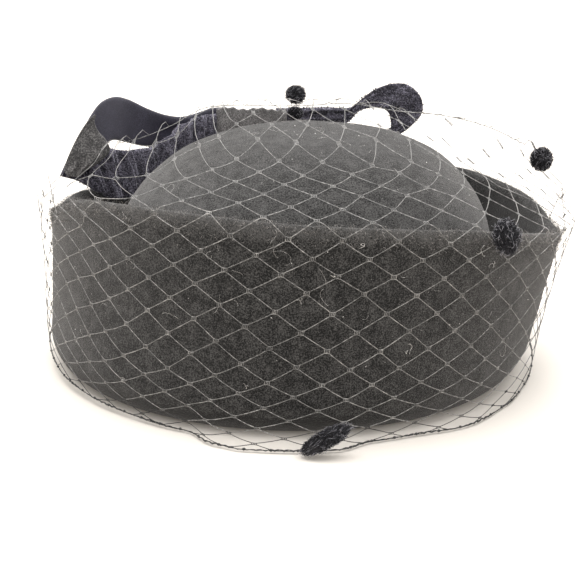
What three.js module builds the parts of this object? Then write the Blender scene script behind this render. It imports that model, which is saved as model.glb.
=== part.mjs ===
// A moulded felt pillbox hat with a deep turned-up cuff, a ruched velvet band, a ribbon bow at the back
// and a net veil with chenille dots. Millimetres, +Z up, the wearer's face towards -Y.
// The origin is on the table under the middle of the whole hat's box.
import * as THREE from "three";
import { mergeVertices } from "three/addons/utils/BufferGeometryUtils.js";

// Felt body: every ring is an ellipse, a little longer from front to back than across
const LENGTH_RATIO = 1.02;
const LEAN = 0.12; // how far the felt leans to +X for each millimetre of height
const SEAM_GAP = 0.35; // clearance between pieces that touch
const MERGE = 1e-4; // points closer than this are one

const CROWN_HALF_WIDTH = 94;
const CROWN_HEIGHT = 110;
const CROWN_FELT = 2.8;
const CROWN_ROUND_SIDE = 2.75; // exponent of the radius in the dome's outline
const CROWN_ROUND_TOP = 3.38; // exponent of the height in the dome's outline
const CROWN_RINGS = 9;
const CROWN_RING_RISE = 0.62; // exponent that spaces the rings evenly along the dome's outline
const FELT_STEPS = 56; // straight pieces round each felt ring

const CUFF_FOOT = 99; // radius where the foot leaves the table
const CUFF_BASE = 114.5; // radius where the fold ends and the wall begins
const CUFF_FOLD_HEIGHT = 20;
const CUFF_RIM = 120;
const CUFF_FELT = 3.4;
const CUFF_FOLD_STEPS = 4;
const CUFF_WALL_SHARES = [0.3, 0.62]; // rings in the wall, as shares of the way up to the rim
const RIM_ROUND_LOW = 0.035; // shares of the wall's height where the rim's rounding starts and nearly ends
const RIM_ROUND_HIGH = 0.008;
const RIM_ROUND_IN = 0.28; // share of the felt's thickness taken by the rounding on each side

// Height of the rim round the hat: azimuth in degrees from the front, positive to +X, then millimetres
const RIM_HEIGHT = [
  [-180, 67], [-165, 64], [-150, 62], [-135, 63], [-120, 67], [-105, 70.5], [-92, 68], [-80, 73],
  [-70, 80], [-60, 88], [-45, 92], [-30, 94], [-15, 93.5], [0, 92.5], [15, 91], [30, 88.5], [45, 83],
  [60, 77], [75, 70.5], [90, 66], [105, 71], [120, 73.5], [135, 76], [150, 75], [165, 71], [180, 67],
];

// Shallow hollows in the dome: azimuth, height, how far they reach in degrees and millimetres, depth
const DENTS = [
  { azimuth: 112, height: 92, spread: 24, reach: 18, depth: 3.2 },
  { azimuth: -52, height: 96, spread: 20, reach: 16, depth: 1.6 },
  { azimuth: 20, height: 84, spread: 26, reach: 14, depth: 1.4 },
];

// Slow waves that hand blocking leaves in the felt, fading out below the fold
const WAVE_LOW = 12;
const WAVE_FULL = 45;
const WAVES = [
  { depth: 0.7, turns: 2, start: 0.6, rise: 0 },
  { depth: 0.45, turns: 5, start: 0, rise: 1 / 23 },
];

const BAND_LOW = 24;
const BAND_HIGH = 52;
const BAND_OFF_CROWN = 0.6;
const BAND_EDGE = 1.2; // thickness at the band's edges
const BAND_BODY = 1.8; // and between them, where the ruches stand up
const BAND_RUCHES = 21;
const BAND_RUCHE_LEAN = 1 / 9; // turn of a ruche for each millimetre of height
const BAND_RUCHE_DEPTH = 1.2;
const BAND_STEPS = 84;

const RIBBON_THICK = 1.1;

// Bow ribbon: points of its two edges, outer then inner, from the middle of the bow outwards
const LEFT_LOOP = {
  outer: [
    [-40.7, 99.8, 103], [-57, 94, 99], [-66, 88, 100.5], [-75, 80, 105], [-84, 71, 111],
    [-90, 63, 113.5], [-96, 54, 112], [-100, 47, 107], [-106, 40, 95], [-111, 35, 84],
  ],
  inner: [
    [-40.7, 99.8, 93], [-57, 93.5, 87], [-69, 87, 86], [-77, 78, 87], [-85, 68, 90],
    [-91, 57, 92], [-93.5, 51, 90.5], [-95, 47, 88], [-97, 42, 86], [-101, 37.5, 84],
  ],
};
const RIGHT_LOOP = {
  outer: [
    [-1.4, 99.8, 103.5], [20, 100.5, 104.5], [32, 99, 105], [38, 97, 110], [45, 93, 116], [54, 90, 119.5],
    [62, 88, 119], [68.5, 87, 113], [69.5, 86, 106], [65, 86, 99], [57, 88, 92], [42, 93, 88],
  ],
  inner: [
    [-1.4, 99.8, 96], [20, 100.5, 96], [31, 98.5, 97], [36, 96, 103], [43, 93, 106], [49, 91, 106],
    [52, 90, 103.5], [53, 90, 100], [53.5, 90, 97], [52, 91, 94], [48, 93, 90], [40, 96, 86],
  ],
};
const GATHER = {
  outer: [
    [-110, 33, 80], [-104, 40.5, 84], [-94, 49, 86], [-83, 59, 85.5],
    [-70, 71, 87], [-57, 84, 90], [-48, 93, 92], [-40.6, 98.6, 91],
  ],
  inner: [
    [-107.5, 36, 76], [-96, 43, 67.5], [-87.5, 50, 62.5], [-77, 60, 62],
    [-66, 72, 63], [-55, 84, 66], [-48, 92, 71], [-40.6, 98.6, 74],
  ],
};
const GATHER_THICK = 3;
const GATHER_RUCHES = 9;
const GATHER_RUCHE_DEPTH = 1.8;
const GATHER_RUCHE_LEAN = 2; // turn of a ruche from one edge of the gather to the other

const CENTRE_SIZE = [38, 2.6, 62]; // the flat strap behind the crown that carries the bow
const CENTRE_PLACE = [-21, 98.9, 73];
const CENTRE_ROUND = 1.1; // how far in from its sides the strap starts to round off

// Veil: a coarse net that hangs from the bow line over the dome and the cuff to the table
const NET_COLUMNS = 15;
const NET_WALL_ROWS = 3;
const NET_TOP_ROWS = 4;
const NET_TOP_STEPS = 2; // straight pieces in each strand over the dome
const NET_WIDE = 1.8;
const NET_THICK = 1;
const NET_REACH = 103; // azimuth of the veil's side edges, degrees
const NET_OFF_FELT = 3.2;
const NET_LEFT_PUFF = 15; // how far the stiff net stands off the sides of the rim
const NET_RIGHT_PUFF = 9;
const NET_PUFF_ONSET = 5; // exponent that keeps the puff to the sides
const NET_RIM_PUFF = 0.7; // share of the puff outwards and upwards at the rim
const NET_BELLY_PUFF = 0.1; // and outwards halfway up the wall
const NET_OVER_RIM = 2.4;
const NET_FOLD_HEIGHT = 22; // where the net passes the cuff's fold
const NET_FOLD_OFF = 2.6;
const NET_FOLD_FLARE = 0.35; // share of the hem's flare that is left there
const NET_OVER_STEPS = 24;
const NET_OVER_PASSES = 60;
const NET_OFF_DOME = 4;
const NET_TOP_PUFF = 5.4; // how far it stands up behind the dome
const NET_TOP_PUFF_FROM = [0.55, 0.82]; // shares of the way to the bow where that starts and is full
const NET_TOP_PUFF_TO = [0.88, 1]; // and where it dies away

// Hem of the veil round the hat: azimuth in degrees, then radius and height in millimetres
const HEM = [
  [-103, 116.8, 14], [-90, 115, 9], [-74, 113.5, 6], [-58, 113.2, 4], [-40, 113, 2.5], [-21, 114, 1.2],
  [-13, 123.5, 1.2], [-8, 126, 1.2], [0, 125.7, 1.2], [10, 125.2, 1.2], [18, 119, 1.2], [26, 118.5, 1.2],
  [40, 122, 1.2], [54, 119.5, 1.2], [68, 118, 2], [90, 117.6, 7], [103, 118.5, 14],
];

// Line along the bow that the veil is sewn to, from its left end to its right end
const VEIL_BACK = [
  [-108, 28, 90], [-95, 43, 93], [-77, 58, 93], [-62, 76, 97], [-46, 92, 104], [-30, 98, 104.9],
  [-10, 98.5, 104.9], [8, 97.5, 105.6], [30, 92, 108], [54, 78, 107], [78, 66, 107], [100, 50, 104],
  [116, 36, 98],
];

const DOT_STEPS = [10, 7]; // straight pieces round a dot and from pole to pole
const DOT_LUMP = 0.07; // height of its lumps as a share of its size

// Chenille dots: centre, half sizes and turn about the line of sight in degrees
const DOTS = [
  { name: "veil_dot_front", at: [17, -132.4, 8.2], half: [13, 5, 4.6], turn: 26 },
  { name: "veil_dot_rim", at: [85.6, -103.6, 87.6], half: [6.2, 6.2, 8.4], turn: 8 },
  { name: "veil_dot_side", at: [122.5, 22, 93.5], half: [6.2, 6, 6.6], turn: 0 },
  { name: "veil_dot_top", at: [2.4, 84, 115.4], half: [5.6, 5, 5.4], turn: 0 },
  { name: "veil_dot_back", at: [2.4, 90, 102.6], half: [4.6, 4.6, 3.9], turn: 0 },
];

const rad = THREE.MathUtils.degToRad;

const smooth = (t) => t * t * (3 - 2 * t);

function rimHeight(azimuth) {
  const last = RIM_HEIGHT.findIndex(([a]) => a >= azimuth);
  const next = RIM_HEIGHT[Math.max(last, 1)];
  const before = RIM_HEIGHT[Math.max(last, 1) - 1];
  const t = THREE.MathUtils.clamp((azimuth - before[0]) / (next[0] - before[0]), 0, 1);
  return THREE.MathUtils.lerp(before[1], next[1], smooth(t) * 0.4 + t * 0.6);
}

// A felt point from its azimuth in degrees, its radius across the hat and its height
function feltPoint(azimuth, radius, height) {
  const a = rad(azimuth);
  const x = radius * Math.sin(a) + LEAN * height;
  return new THREE.Vector3(x, -radius * Math.cos(a) * LENGTH_RATIO, height);
}

// Radius of the dome at a height, for the outside or, with inset, for a layer further in
function crownRadius(height, inset = 0) {
  const share = Math.min(height / (CROWN_HEIGHT - inset), 1);
  const side = 1 - Math.pow(share, CROWN_ROUND_TOP);
  return (CROWN_HALF_WIDTH - inset) * Math.pow(side, 1 / CROWN_ROUND_SIDE);
}

function dentDepth(azimuth, height) {
  let depth = 0;
  for (const dent of DENTS) {
    const across = (azimuth - dent.azimuth) / dent.spread;
    const up = (height - dent.height) / dent.reach;
    depth += dent.depth * Math.exp(-across * across - up * up);
  }
  return depth;
}

function unevenness(azimuth, height) {
  const share = THREE.MathUtils.smoothstep(height, WAVE_LOW, WAVE_FULL);
  let shift = 0;
  for (const { depth, turns, start, rise } of WAVES) {
    shift += depth * Math.sin(turns * rad(azimuth) + start + rise * height);
  }
  return share * shift;
}

// Turns a closed profile of [radius, height] points about Z, and puts each vertex where place says
function turned(profile, steps, place) {
  const points = profile.map(([r, z]) => new THREE.Vector2(r, z));
  const geometry = new THREE.LatheGeometry(points, steps);
  geometry.deleteAttribute("normal");
  geometry.deleteAttribute("uv");
  const position = geometry.getAttribute("position");
  const across = points.length;
  for (let i = 0; i < position.count; i += 1) {
    const step = Math.floor(i / across) % steps;
    const azimuth = (step / steps) * 360 - 180;
    const [r, z] = profile[i % across];
    const p = place(azimuth, r, z);
    position.setXYZ(i, p.x, p.y, p.z);
  }
  return outward(mergeVertices(geometry, MERGE));
}

// Drops the triangles that merging has flattened, and turns all faces outwards
function outward(geometry) {
  const index = geometry.getIndex().array;
  const position = geometry.getAttribute("position");
  const corner = [new THREE.Vector3(), new THREE.Vector3(), new THREE.Vector3()];
  const kept = [];
  let volume = 0;
  for (let i = 0; i < index.length; i += 3) {
    const [a, b, c] = [index[i], index[i + 1], index[i + 2]];
    if (a !== b && b !== c && c !== a) {
      kept.push(a, b, c);
      [a, b, c].forEach((v, k) => corner[k].fromBufferAttribute(position, v));
      volume += corner[0].dot(corner[1].clone().cross(corner[2]));
    }
  }
  if (volume < 0) {
    kept.reverse();
  }
  geometry.setIndex(kept);
  geometry.computeVertexNormals();
  return geometry;
}

// A closed solid from lists of points and triangles
function solidFrom(points, triangles) {
  const geometry = new THREE.BufferGeometry();
  geometry.setAttribute("position", new THREE.Float32BufferAttribute(points.flatMap((p) => p.toArray()), 3));
  geometry.setIndex(triangles);
  return outward(geometry);
}

function crownGeometry() {
  const profile = [];
  for (let k = 0; k <= CROWN_RINGS; k += 1) {
    const share = Math.sin((k / CROWN_RINGS) * Math.PI / 2);
    const z = CROWN_HEIGHT * Math.pow(share, CROWN_RING_RISE);
    profile.push([k === CROWN_RINGS ? 0 : crownRadius(z), z]);
  }
  for (let k = CROWN_RINGS; k >= 0; k -= 1) {
    const share = Math.sin((k / CROWN_RINGS) * Math.PI / 2);
    const z = (CROWN_HEIGHT - CROWN_FELT) * Math.pow(share, CROWN_RING_RISE);
    profile.push([k === CROWN_RINGS ? 0 : crownRadius(z, CROWN_FELT), z]);
  }
  profile.push([CROWN_HALF_WIDTH, 0]);
  return turned(profile, FELT_STEPS, (azimuth, r, z) => {
    const share = Math.min(1, 1.4 * r / CROWN_HALF_WIDTH); // waves and dents fade out towards the tip
    return feltPoint(azimuth, r + share * (unevenness(azimuth, z) - dentDepth(azimuth, z)), z);
  });
}

// Outer radius of the cuff's wall at a share of the way from the fold up to the rim
function wallRadius(share) {
  return CUFF_BASE + (CUFF_RIM - CUFF_BASE) * (0.75 * share + 0.25 * share * share);
}

function cuffGeometry() {
  const t = CUFF_FELT;
  const inside = CROWN_HALF_WIDTH + SEAM_GAP;
  const foldWide = CUFF_BASE - CUFF_FOOT;
  // Heights over the fold are shares of the wall, written as the fold's height plus the share
  const profile = [[inside, 0]];
  for (let k = 0; k <= CUFF_FOLD_STEPS; k += 1) {
    const a = (k / CUFF_FOLD_STEPS) * Math.PI / 2;
    profile.push([CUFF_FOOT + foldWide * Math.sin(a), CUFF_FOLD_HEIGHT * (1 - Math.cos(a))]);
  }
  for (const share of CUFF_WALL_SHARES) {
    profile.push([wallRadius(share), CUFF_FOLD_HEIGHT + share]);
  }
  const edge = RIM_ROUND_IN * t;
  const top = CUFF_FOLD_HEIGHT + 1;
  profile.push([CUFF_RIM, top - RIM_ROUND_LOW]);
  profile.push([CUFF_RIM - edge, top - RIM_ROUND_HIGH]);
  profile.push([CUFF_RIM - t / 2, top]);
  profile.push([CUFF_RIM - t + edge, top - RIM_ROUND_HIGH]);
  profile.push([CUFF_RIM - t, top - RIM_ROUND_LOW]);
  for (const share of [...CUFF_WALL_SHARES].reverse()) {
    profile.push([wallRadius(share) - t, CUFF_FOLD_HEIGHT + share]);
  }
  for (let k = CUFF_FOLD_STEPS; k >= 0; k -= 1) {
    const a = (k / CUFF_FOLD_STEPS) * Math.PI / 2;
    profile.push([CUFF_FOOT + (foldWide - t) * Math.sin(a), t + (CUFF_FOLD_HEIGHT - t) * (1 - Math.cos(a))]);
  }
  profile.push([inside, t]);
  profile.push([inside, 0]);
  return turned(profile, FELT_STEPS, (azimuth, r, z) => {
    const share = Math.max(z - CUFF_FOLD_HEIGHT, 0);
    const wall = CUFF_FOLD_HEIGHT + share * (rimHeight(azimuth) - CUFF_FOLD_HEIGHT);
    const height = z <= CUFF_FOLD_HEIGHT ? z : wall;
    return feltPoint(azimuth, r + unevenness(azimuth, height), height);
  });
}

function bandGeometry() {
  const third = (BAND_HIGH - BAND_LOW) / 3;
  const levels = [0, 1, 2, 3].map((k) => BAND_LOW + k * third);
  const profile = [
    [0, levels[0]], [BAND_EDGE, levels[0]], [BAND_BODY, levels[1]], [BAND_BODY, levels[2]],
    [BAND_EDGE, levels[3]], [0, levels[3]], [0, levels[2]], [0, levels[1]], [0, levels[0]],
  ];
  return turned(profile, BAND_STEPS, (azimuth, out, z) => {
    const wave = 0.5 + 0.5 * Math.sin(rad(azimuth) * BAND_RUCHES + z * BAND_RUCHE_LEAN);
    const skin = crownRadius(z) + unevenness(azimuth, z) + BAND_OFF_CROWN;
    const ruche = out === BAND_BODY ? BAND_RUCHE_DEPTH * wave : BAND_RUCHE_DEPTH * wave * out / 3;
    return feltPoint(azimuth, skin + out + ruche, z);
  });
}

// A ribbon between two edge curves, thickened to both sides of its face and closed all round
function ribbonGeometry(edges, along, across, thick, ruche = () => 0) {
  const curve = (points) => new THREE.CatmullRomCurve3(points.map((p) => new THREE.Vector3(...p)));
  const outer = curve(edges.outer);
  const inner = curve(edges.inner);
  const middle = (u, v) => outer.getPoint(u).lerp(inner.getPoint(u), v);
  const face = (u, v) => {
    const ahead = middle(Math.min(u + 0.01, 1), v).sub(middle(Math.max(u - 0.01, 0), v));
    return ahead.cross(inner.getPoint(u).sub(outer.getPoint(u))).normalize();
  };
  const points = [];
  for (const side of [1, -1]) {
    for (let i = 0; i <= along; i += 1) {
      for (let j = 0; j <= across; j += 1) {
        const [u, v] = [i / along, j / across];
        const shift = side * thick / 2 + ruche(u, v);
        points.push(middle(u, v).addScaledVector(face(u, v), shift));
      }
    }
  }
  return solidFrom(points, twoSidedGrid(along, across));
}

// Triangles of two facing grids of points, joined round their border
function twoSidedGrid(along, across) {
  const wide = across + 1;
  const layer = (along + 1) * wide;
  const at = (side, i, j) => side * layer + i * wide + j;
  const triangles = [];
  const quad = (a, b, c, d) => triangles.push(a, b, c, a, c, d);
  for (let i = 0; i < along; i += 1) {
    for (let j = 0; j < across; j += 1) {
      quad(at(0, i, j), at(0, i + 1, j), at(0, i + 1, j + 1), at(0, i, j + 1));
      quad(at(1, i, j), at(1, i, j + 1), at(1, i + 1, j + 1), at(1, i + 1, j));
    }
    quad(at(0, i + 1, 0), at(0, i, 0), at(1, i, 0), at(1, i + 1, 0));
    quad(at(0, i, across), at(0, i + 1, across), at(1, i + 1, across), at(1, i, across));
  }
  for (let j = 0; j < across; j += 1) {
    quad(at(0, 0, j), at(0, 0, j + 1), at(1, 0, j + 1), at(1, 0, j));
    quad(at(0, along, j + 1), at(0, along, j), at(1, along, j), at(1, along, j + 1));
  }
  return triangles;
}

// Radius and height of the veil's hem at an azimuth
function hemAt(azimuth) {
  const next = Math.max(HEM.findIndex(([a]) => a >= azimuth), 1);
  const [from, to] = [HEM[next - 1], HEM[next]];
  const t = smooth(THREE.MathUtils.clamp((azimuth - from[0]) / (to[0] - from[0]), 0, 1));
  return { radius: THREE.MathUtils.lerp(from[1], to[1], t), height: THREE.MathUtils.lerp(from[2], to[2], t) };
}

// One line of the veil, from the table up the wall, over the rim and across to the bow line
function veilLine(side) {
  const azimuth = side * NET_REACH;
  const top = rimHeight(azimuth);
  const hem = hemAt(azimuth);
  const puff = (side < 0 ? NET_LEFT_PUFF : NET_RIGHT_PUFF) * Math.pow(Math.abs(side), NET_PUFF_ONSET);
  const fold = CUFF_BASE + NET_FOLD_OFF + NET_FOLD_FLARE * (hem.radius - CUFF_BASE);
  const belly = wallRadius(0.5) + NET_OFF_FELT + NET_BELLY_PUFF * puff;
  const out = NET_RIM_PUFF * puff;
  const rim = feltPoint(azimuth, CUFF_RIM + NET_OFF_FELT + out, top + NET_OVER_RIM + out);
  const wall = new THREE.CatmullRomCurve3([
    feltPoint(azimuth, hem.radius, hem.height),
    feltPoint(azimuth, Math.max(fold, CUFF_BASE + NET_FOLD_OFF), NET_FOLD_HEIGHT),
    feltPoint(azimuth, belly, (CUFF_FOLD_HEIGHT + top) / 2),
    rim,
  ]);
  const back = new THREE.CatmullRomCurve3(VEIL_BACK.map((p) => new THREE.Vector3(...p)));
  return { wall, over: overCurve(rim, back.getPoint((side + 1) / 2)) };
}

// The veil's way from the rim over the dome, lifted wherever the straight way would cut into the felt
function overCurve(rim, end) {
  const points = [];
  for (let k = 0; k <= NET_OVER_STEPS; k += 1) {
    const p = rim.clone().lerp(end, k / NET_OVER_STEPS);
    p.z = Math.max(p.z, domeTop(p.x, p.y));
    points.push(p);
  }
  for (let pass = 0; pass < NET_OVER_PASSES; pass += 1) {
    for (let k = 1; k < NET_OVER_STEPS; k += 1) {
      points[k].z = Math.max(points[k].z, (points[k - 1].z + points[k + 1].z) / 2);
    }
  }
  const { smoothstep } = THREE.MathUtils;
  points.forEach((p, k) => {
    const t = k / NET_OVER_STEPS;
    p.z += NET_TOP_PUFF * smoothstep(t, ...NET_TOP_PUFF_FROM) * (1 - smoothstep(t, ...NET_TOP_PUFF_TO));
  });
  return new THREE.CatmullRomCurve3(points);
}

// Height of the veil where it lies on the dome, over a point of the plan
function domeTop(x, y) {
  let z = CROWN_HEIGHT;
  for (let pass = 0; pass < 4; pass += 1) {
    const reach = Math.hypot(x - LEAN * z, y / LENGTH_RATIO) / (CROWN_HALF_WIDTH + NET_OFF_DOME);
    const side = Math.max(1 - Math.pow(Math.min(reach, 1), CROWN_ROUND_SIDE), 0);
    z = (CROWN_HEIGHT + NET_OFF_FELT) * Math.pow(side, 1 / CROWN_ROUND_TOP);
  }
  return z;
}

// A point of the veil: side from -1 to 1 across, row from the hem up in whole and half rows
function veilPoint(side, row) {
  const { wall, over } = veilLine(side);
  return row <= NET_WALL_ROWS
    ? wall.getPointAt(row / NET_WALL_ROWS)
    : over.getPointAt((row - NET_WALL_ROWS) / NET_TOP_ROWS);
}

function veilNormal(side, row) {
  const rows = NET_WALL_ROWS + NET_TOP_ROWS;
  const across = veilPoint(Math.min(side + 0.01, 1), row).sub(veilPoint(Math.max(side - 0.01, -1), row));
  const up = veilPoint(side, Math.min(row + 0.05, rows)).sub(veilPoint(side, Math.max(row - 0.05, 0)));
  return across.cross(up).normalize();
}

// The net: a thin sheet with one hole inside every diamond, and half diamonds along its border
function veilGeometry() {
  const rows = NET_WALL_ROWS + NET_TOP_ROWS;
  const points = [];
  const normals = [];
  const known = new Map();
  const triangles = [];
  const corner = (side, row) => {
    const key = `${side.toFixed(5)},${row.toFixed(5)}`;
    if (!known.has(key)) {
      const middle = veilPoint(side, row);
      const normal = veilNormal(side, row);
      known.set(key, points.length);
      points.push(middle.clone().addScaledVector(normal, NET_THICK / 2));
      points.push(middle.clone().addScaledVector(normal, -NET_THICK / 2));
      normals.push(normal, normal);
    }
    return known.get(key);
  };
  const quad = (a, b, c, d) => triangles.push(a, b, c, a, c, d);
  const sideOf = (column) => (column / NET_COLUMNS) * 2 - 1;
  const borders = new Map();
  // Splits a strand into short straight pieces
  const strand = (from, to) => {
    const list = [];
    const steps = Math.max(from[1], to[1]) > NET_WALL_ROWS ? NET_TOP_STEPS : 1;
    for (let k = 0; k < steps; k += 1) {
      const t = k / steps;
      list.push([THREE.MathUtils.lerp(from[0], to[0], t), THREE.MathUtils.lerp(from[1], to[1], t)]);
    }
    return list;
  };
  const cell = (corners) => {
    const ring = corners.flatMap((c, k) => strand(c, corners[(k + 1) % corners.length]));
    const outer = ring.map(([column, row]) => corner(sideOf(column), row));
    const count = outer.length;
    const inner = outer.map((v, k) => {
      const before = outer[(k + count - 1) % count];
      const after = outer[(k + 1) % count];
      const normal = normals[v];
      const inwards = (a, b) => normal.clone().cross(points[b].clone().sub(points[a])).normalize();
      const first = inwards(before, v);
      const second = inwards(v, after);
      const mitre = first.clone().add(second).divideScalar(1 + Math.max(first.dot(second), -0.6));
      const to = points[v].clone().addScaledVector(mitre, NET_WIDE / 2);
      points.push(to, to.clone().addScaledVector(normal, -NET_THICK));
      normals.push(normal, normal);
      return points.length - 2;
    });
    for (let k = 0; k < count; k += 1) {
      const n = (k + 1) % count;
      quad(outer[k], outer[n], inner[n], inner[k]);
      quad(outer[n] + 1, outer[k] + 1, inner[k] + 1, inner[n] + 1);
      quad(inner[k], inner[n], inner[n] + 1, inner[k] + 1);
      const there = `${outer[n]},${outer[k]}`;
      if (borders.has(there)) {
        borders.delete(there);
      } else {
        borders.set(`${outer[k]},${outer[n]}`, [outer[k], outer[n]]);
      }
    }
  };
  for (let row = 0; row <= rows; row += 1) {
    const shift = row % 2 === 0 ? 0 : 0.5;
    for (let column = shift; column <= NET_COLUMNS - shift; column += 1) {
      const left = column - 0.5;
      const right = column + 0.5;
      const whole = row + 2 <= rows && left >= 0 && right <= NET_COLUMNS;
      if (whole) {
        cell([[column, row], [right, row + 1], [column, row + 2], [left, row + 1]]);
      }
      if (row + 2 <= rows && left < 0) {
        cell([[column, row], [right, row + 1], [column, row + 2]]);
      }
      if (row + 2 <= rows && right > NET_COLUMNS) {
        cell([[column, row], [column, row + 2], [left, row + 1]]);
      }
      if (row === 0 && column + 1 <= NET_COLUMNS) {
        cell([[column, 0], [column + 1, 0], [right, 1]]);
      }
      if (row === rows && column + 1 <= NET_COLUMNS - shift) {
        cell([[column, row], [right, row - 1], [column + 1, row]]);
      }
    }
  }
  for (const [a, b] of borders.values()) {
    quad(b, a, a + 1, b + 1);
  }
  return solidFrom(points, triangles);
}

// A chenille dot: a ball stretched to its size, with a lumpy skin of cut pile
function dotGeometry(half, turn) {
  const geometry = new THREE.SphereGeometry(1, ...DOT_STEPS);
  geometry.deleteAttribute("normal");
  geometry.deleteAttribute("uv");
  const merged = mergeVertices(geometry, MERGE);
  const position = merged.getAttribute("position");
  const p = new THREE.Vector3();
  const tilt = new THREE.Matrix4().makeRotationY(-rad(turn));
  for (let i = 0; i < position.count; i += 1) {
    p.fromBufferAttribute(position, i);
    const lump = 1 + DOT_LUMP * Math.sin(7 * p.x + 5 * p.z + 3 * p.y);
    p.multiplyScalar(lump).multiply(new THREE.Vector3(...half)).applyMatrix4(tilt);
    position.setXYZ(i, p.x, p.y, p.z);
  }
  return outward(merged);
}

// The bow's centre strap: a plate with rounded sides that stands behind the crown up to the bow
function centreGeometry() {
  const [wide, thick, high] = CENTRE_SIZE;
  const side = wide / 2 - CENTRE_ROUND;
  const outline = new THREE.Shape();
  outline.moveTo(-side, -thick / 2);
  outline.lineTo(side, -thick / 2);
  outline.absarc(side, 0, thick / 2, -Math.PI / 2, Math.PI / 2, false);
  outline.lineTo(-side, thick / 2);
  outline.absarc(-side, 0, thick / 2, Math.PI / 2, 1.5 * Math.PI, false);
  const geometry = new THREE.ExtrudeGeometry(outline, { depth: high, bevelEnabled: false, curveSegments: 4 });
  geometry.translate(0, 0, -high / 2);
  geometry.deleteAttribute("normal");
  geometry.deleteAttribute("uv");
  return outward(mergeVertices(geometry, MERGE));
}

const cloth = (color, roughness) => new THREE.MeshStandardMaterial({ color, roughness, metalness: 0 });
const felt = cloth("#2f2d2c", 0.95);
const velvet = cloth("#23222b", 0.85);
const ribbon = cloth("#3b3945", 0.7);
const netting = cloth("#1c1b1c", 0.5);
const chenille = cloth("#141316", 0.9);

const hat = new THREE.Group();

function add(name, geometry, material, place = [0, 0, 0]) {
  const mesh = new THREE.Mesh(geometry, material);
  mesh.name = name;
  mesh.position.set(...place);
  hat.add(mesh);
}

add("crown", crownGeometry(), felt);
add("cuff", cuffGeometry(), felt);
add("velvet_band", bandGeometry(), velvet);
add("bow_centre", centreGeometry(), ribbon, CENTRE_PLACE);
add("bow_left_loop", ribbonGeometry(LEFT_LOOP, 20, 2, RIBBON_THICK), ribbon);
add("bow_right_loop", ribbonGeometry(RIGHT_LOOP, 24, 2, RIBBON_THICK), ribbon);
const pleat = (u, v) => {
  const wave = Math.sin(2 * Math.PI * GATHER_RUCHES * u + GATHER_RUCHE_LEAN * v);
  return GATHER_RUCHE_DEPTH * wave * Math.sin(Math.PI * u);
};
add("bow_gather", ribbonGeometry(GATHER, 36, 2, GATHER_THICK, pleat), velvet);
add("veil", veilGeometry(), netting);
for (const { name, at, half, turn } of DOTS) {
  add(name, dotGeometry(half, turn), chenille, at);
}

// Sizes above are from the felt's own axis, so the finished hat is moved to stand over the origin
const box = new THREE.Box3().setFromObject(hat);
const middle = box.getCenter(new THREE.Vector3());
hat.children.forEach((mesh) => mesh.position.sub(new THREE.Vector3(middle.x, middle.y, box.min.z)));

export default hat;
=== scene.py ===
import math
import random

import bmesh
import bpy
import numpy as np
from mathutils import Matrix, Vector, noise


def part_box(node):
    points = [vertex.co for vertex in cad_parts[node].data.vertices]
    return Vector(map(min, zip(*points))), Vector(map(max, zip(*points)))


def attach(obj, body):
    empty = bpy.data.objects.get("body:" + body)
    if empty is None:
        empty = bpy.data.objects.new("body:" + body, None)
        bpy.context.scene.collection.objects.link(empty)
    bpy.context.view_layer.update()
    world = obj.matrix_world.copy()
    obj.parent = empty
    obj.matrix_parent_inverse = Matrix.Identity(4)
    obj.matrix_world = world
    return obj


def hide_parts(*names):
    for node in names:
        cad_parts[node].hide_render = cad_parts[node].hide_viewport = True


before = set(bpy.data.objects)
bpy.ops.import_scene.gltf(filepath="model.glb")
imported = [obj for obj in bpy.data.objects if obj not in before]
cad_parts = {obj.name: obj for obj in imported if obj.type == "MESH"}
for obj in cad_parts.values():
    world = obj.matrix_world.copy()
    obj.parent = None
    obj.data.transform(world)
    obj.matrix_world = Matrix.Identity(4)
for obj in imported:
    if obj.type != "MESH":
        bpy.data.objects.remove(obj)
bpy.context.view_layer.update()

# A wool felt pillbox hat with a turned-up cuff, a ruched velvet band, a ribbon bow and a dotted net veil.
# Shapes are worked out in millimetres from the felt's own axis. The last step turns them to metres.

MM = 0.001
MERGE_DISTANCE = 0.002 * MM

# The bow's strap stands here from the felt's axis, so its place in the frame gives the shift
STRAP_SIZE = (38.0, 2.6, 62.0)
STRAP_PLACE = Vector((-21.0, 98.9, 73.0))
STRAP_LOW, STRAP_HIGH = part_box("bow_centre")
SHIFT = np.array((STRAP_LOW + STRAP_HIGH) / (2 * MM) - STRAP_PLACE)

# Felt body, as in the solids
LENGTH_RATIO = 1.02  # length over width
LEAN = 0.12  # sideways, for each millimetre of height
CROWN_HALF_WIDTH = 94.0
CROWN_HEIGHT = 110.0
CROWN_FELT = 2.8  # its thickness
CROWN_ROUND_SIDE = 2.75  # powers that round the dome
CROWN_ROUND_TOP = 3.38
CROWN_RING_RISE = 0.62  # power that spaces the rings up the dome
CROWN_STEPS = 280
CROWN_RINGS = 64
CROWN_MIDDLE = (LEAN * CROWN_HEIGHT / 2, 0, 45)  # the felt's lumps rise away from here
CROWN_EVEN_TOP = 1.4  # nearer the axis than the half width over this, the unevenness fades
CROWN_PAINTED_LIGHT = 0.45  # painted light low on the dome, where the cuff's rim shades it, beside the painted highlight at the rim
PAINTED_LIGHT_FULL = 82.0  # height up to which the painted light is full
PAINTED_LIGHT_ENDS = 106.0

CUFF_FOOT = 99.0
CUFF_BASE = 114.5
CUFF_FOLD_HEIGHT = 20.0
CUFF_RIM = 120.0
CUFF_FLARE = 0.25  # share of the wall's lean that grows towards the rim
CUFF_FELT = 3.4  # its thickness
CUFF_STEPS = 320
CUFF_FOLD_RINGS = 16
CUFF_WALL_RINGS = 44
RIM_RINGS = 16
RIM_ROUND = 0.1  # share of the wall's height in which the rim rounds over
RIM_HIGHLIGHT_DEEP = 9.0  # how far down from the rim the painted highlight reaches
INSIDE_PAINTED_SHADE = 0.7  # how much painted shade darkens the inside, as a share of the rim's full painted highlight
SEAM_GAP = 0.35

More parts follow.
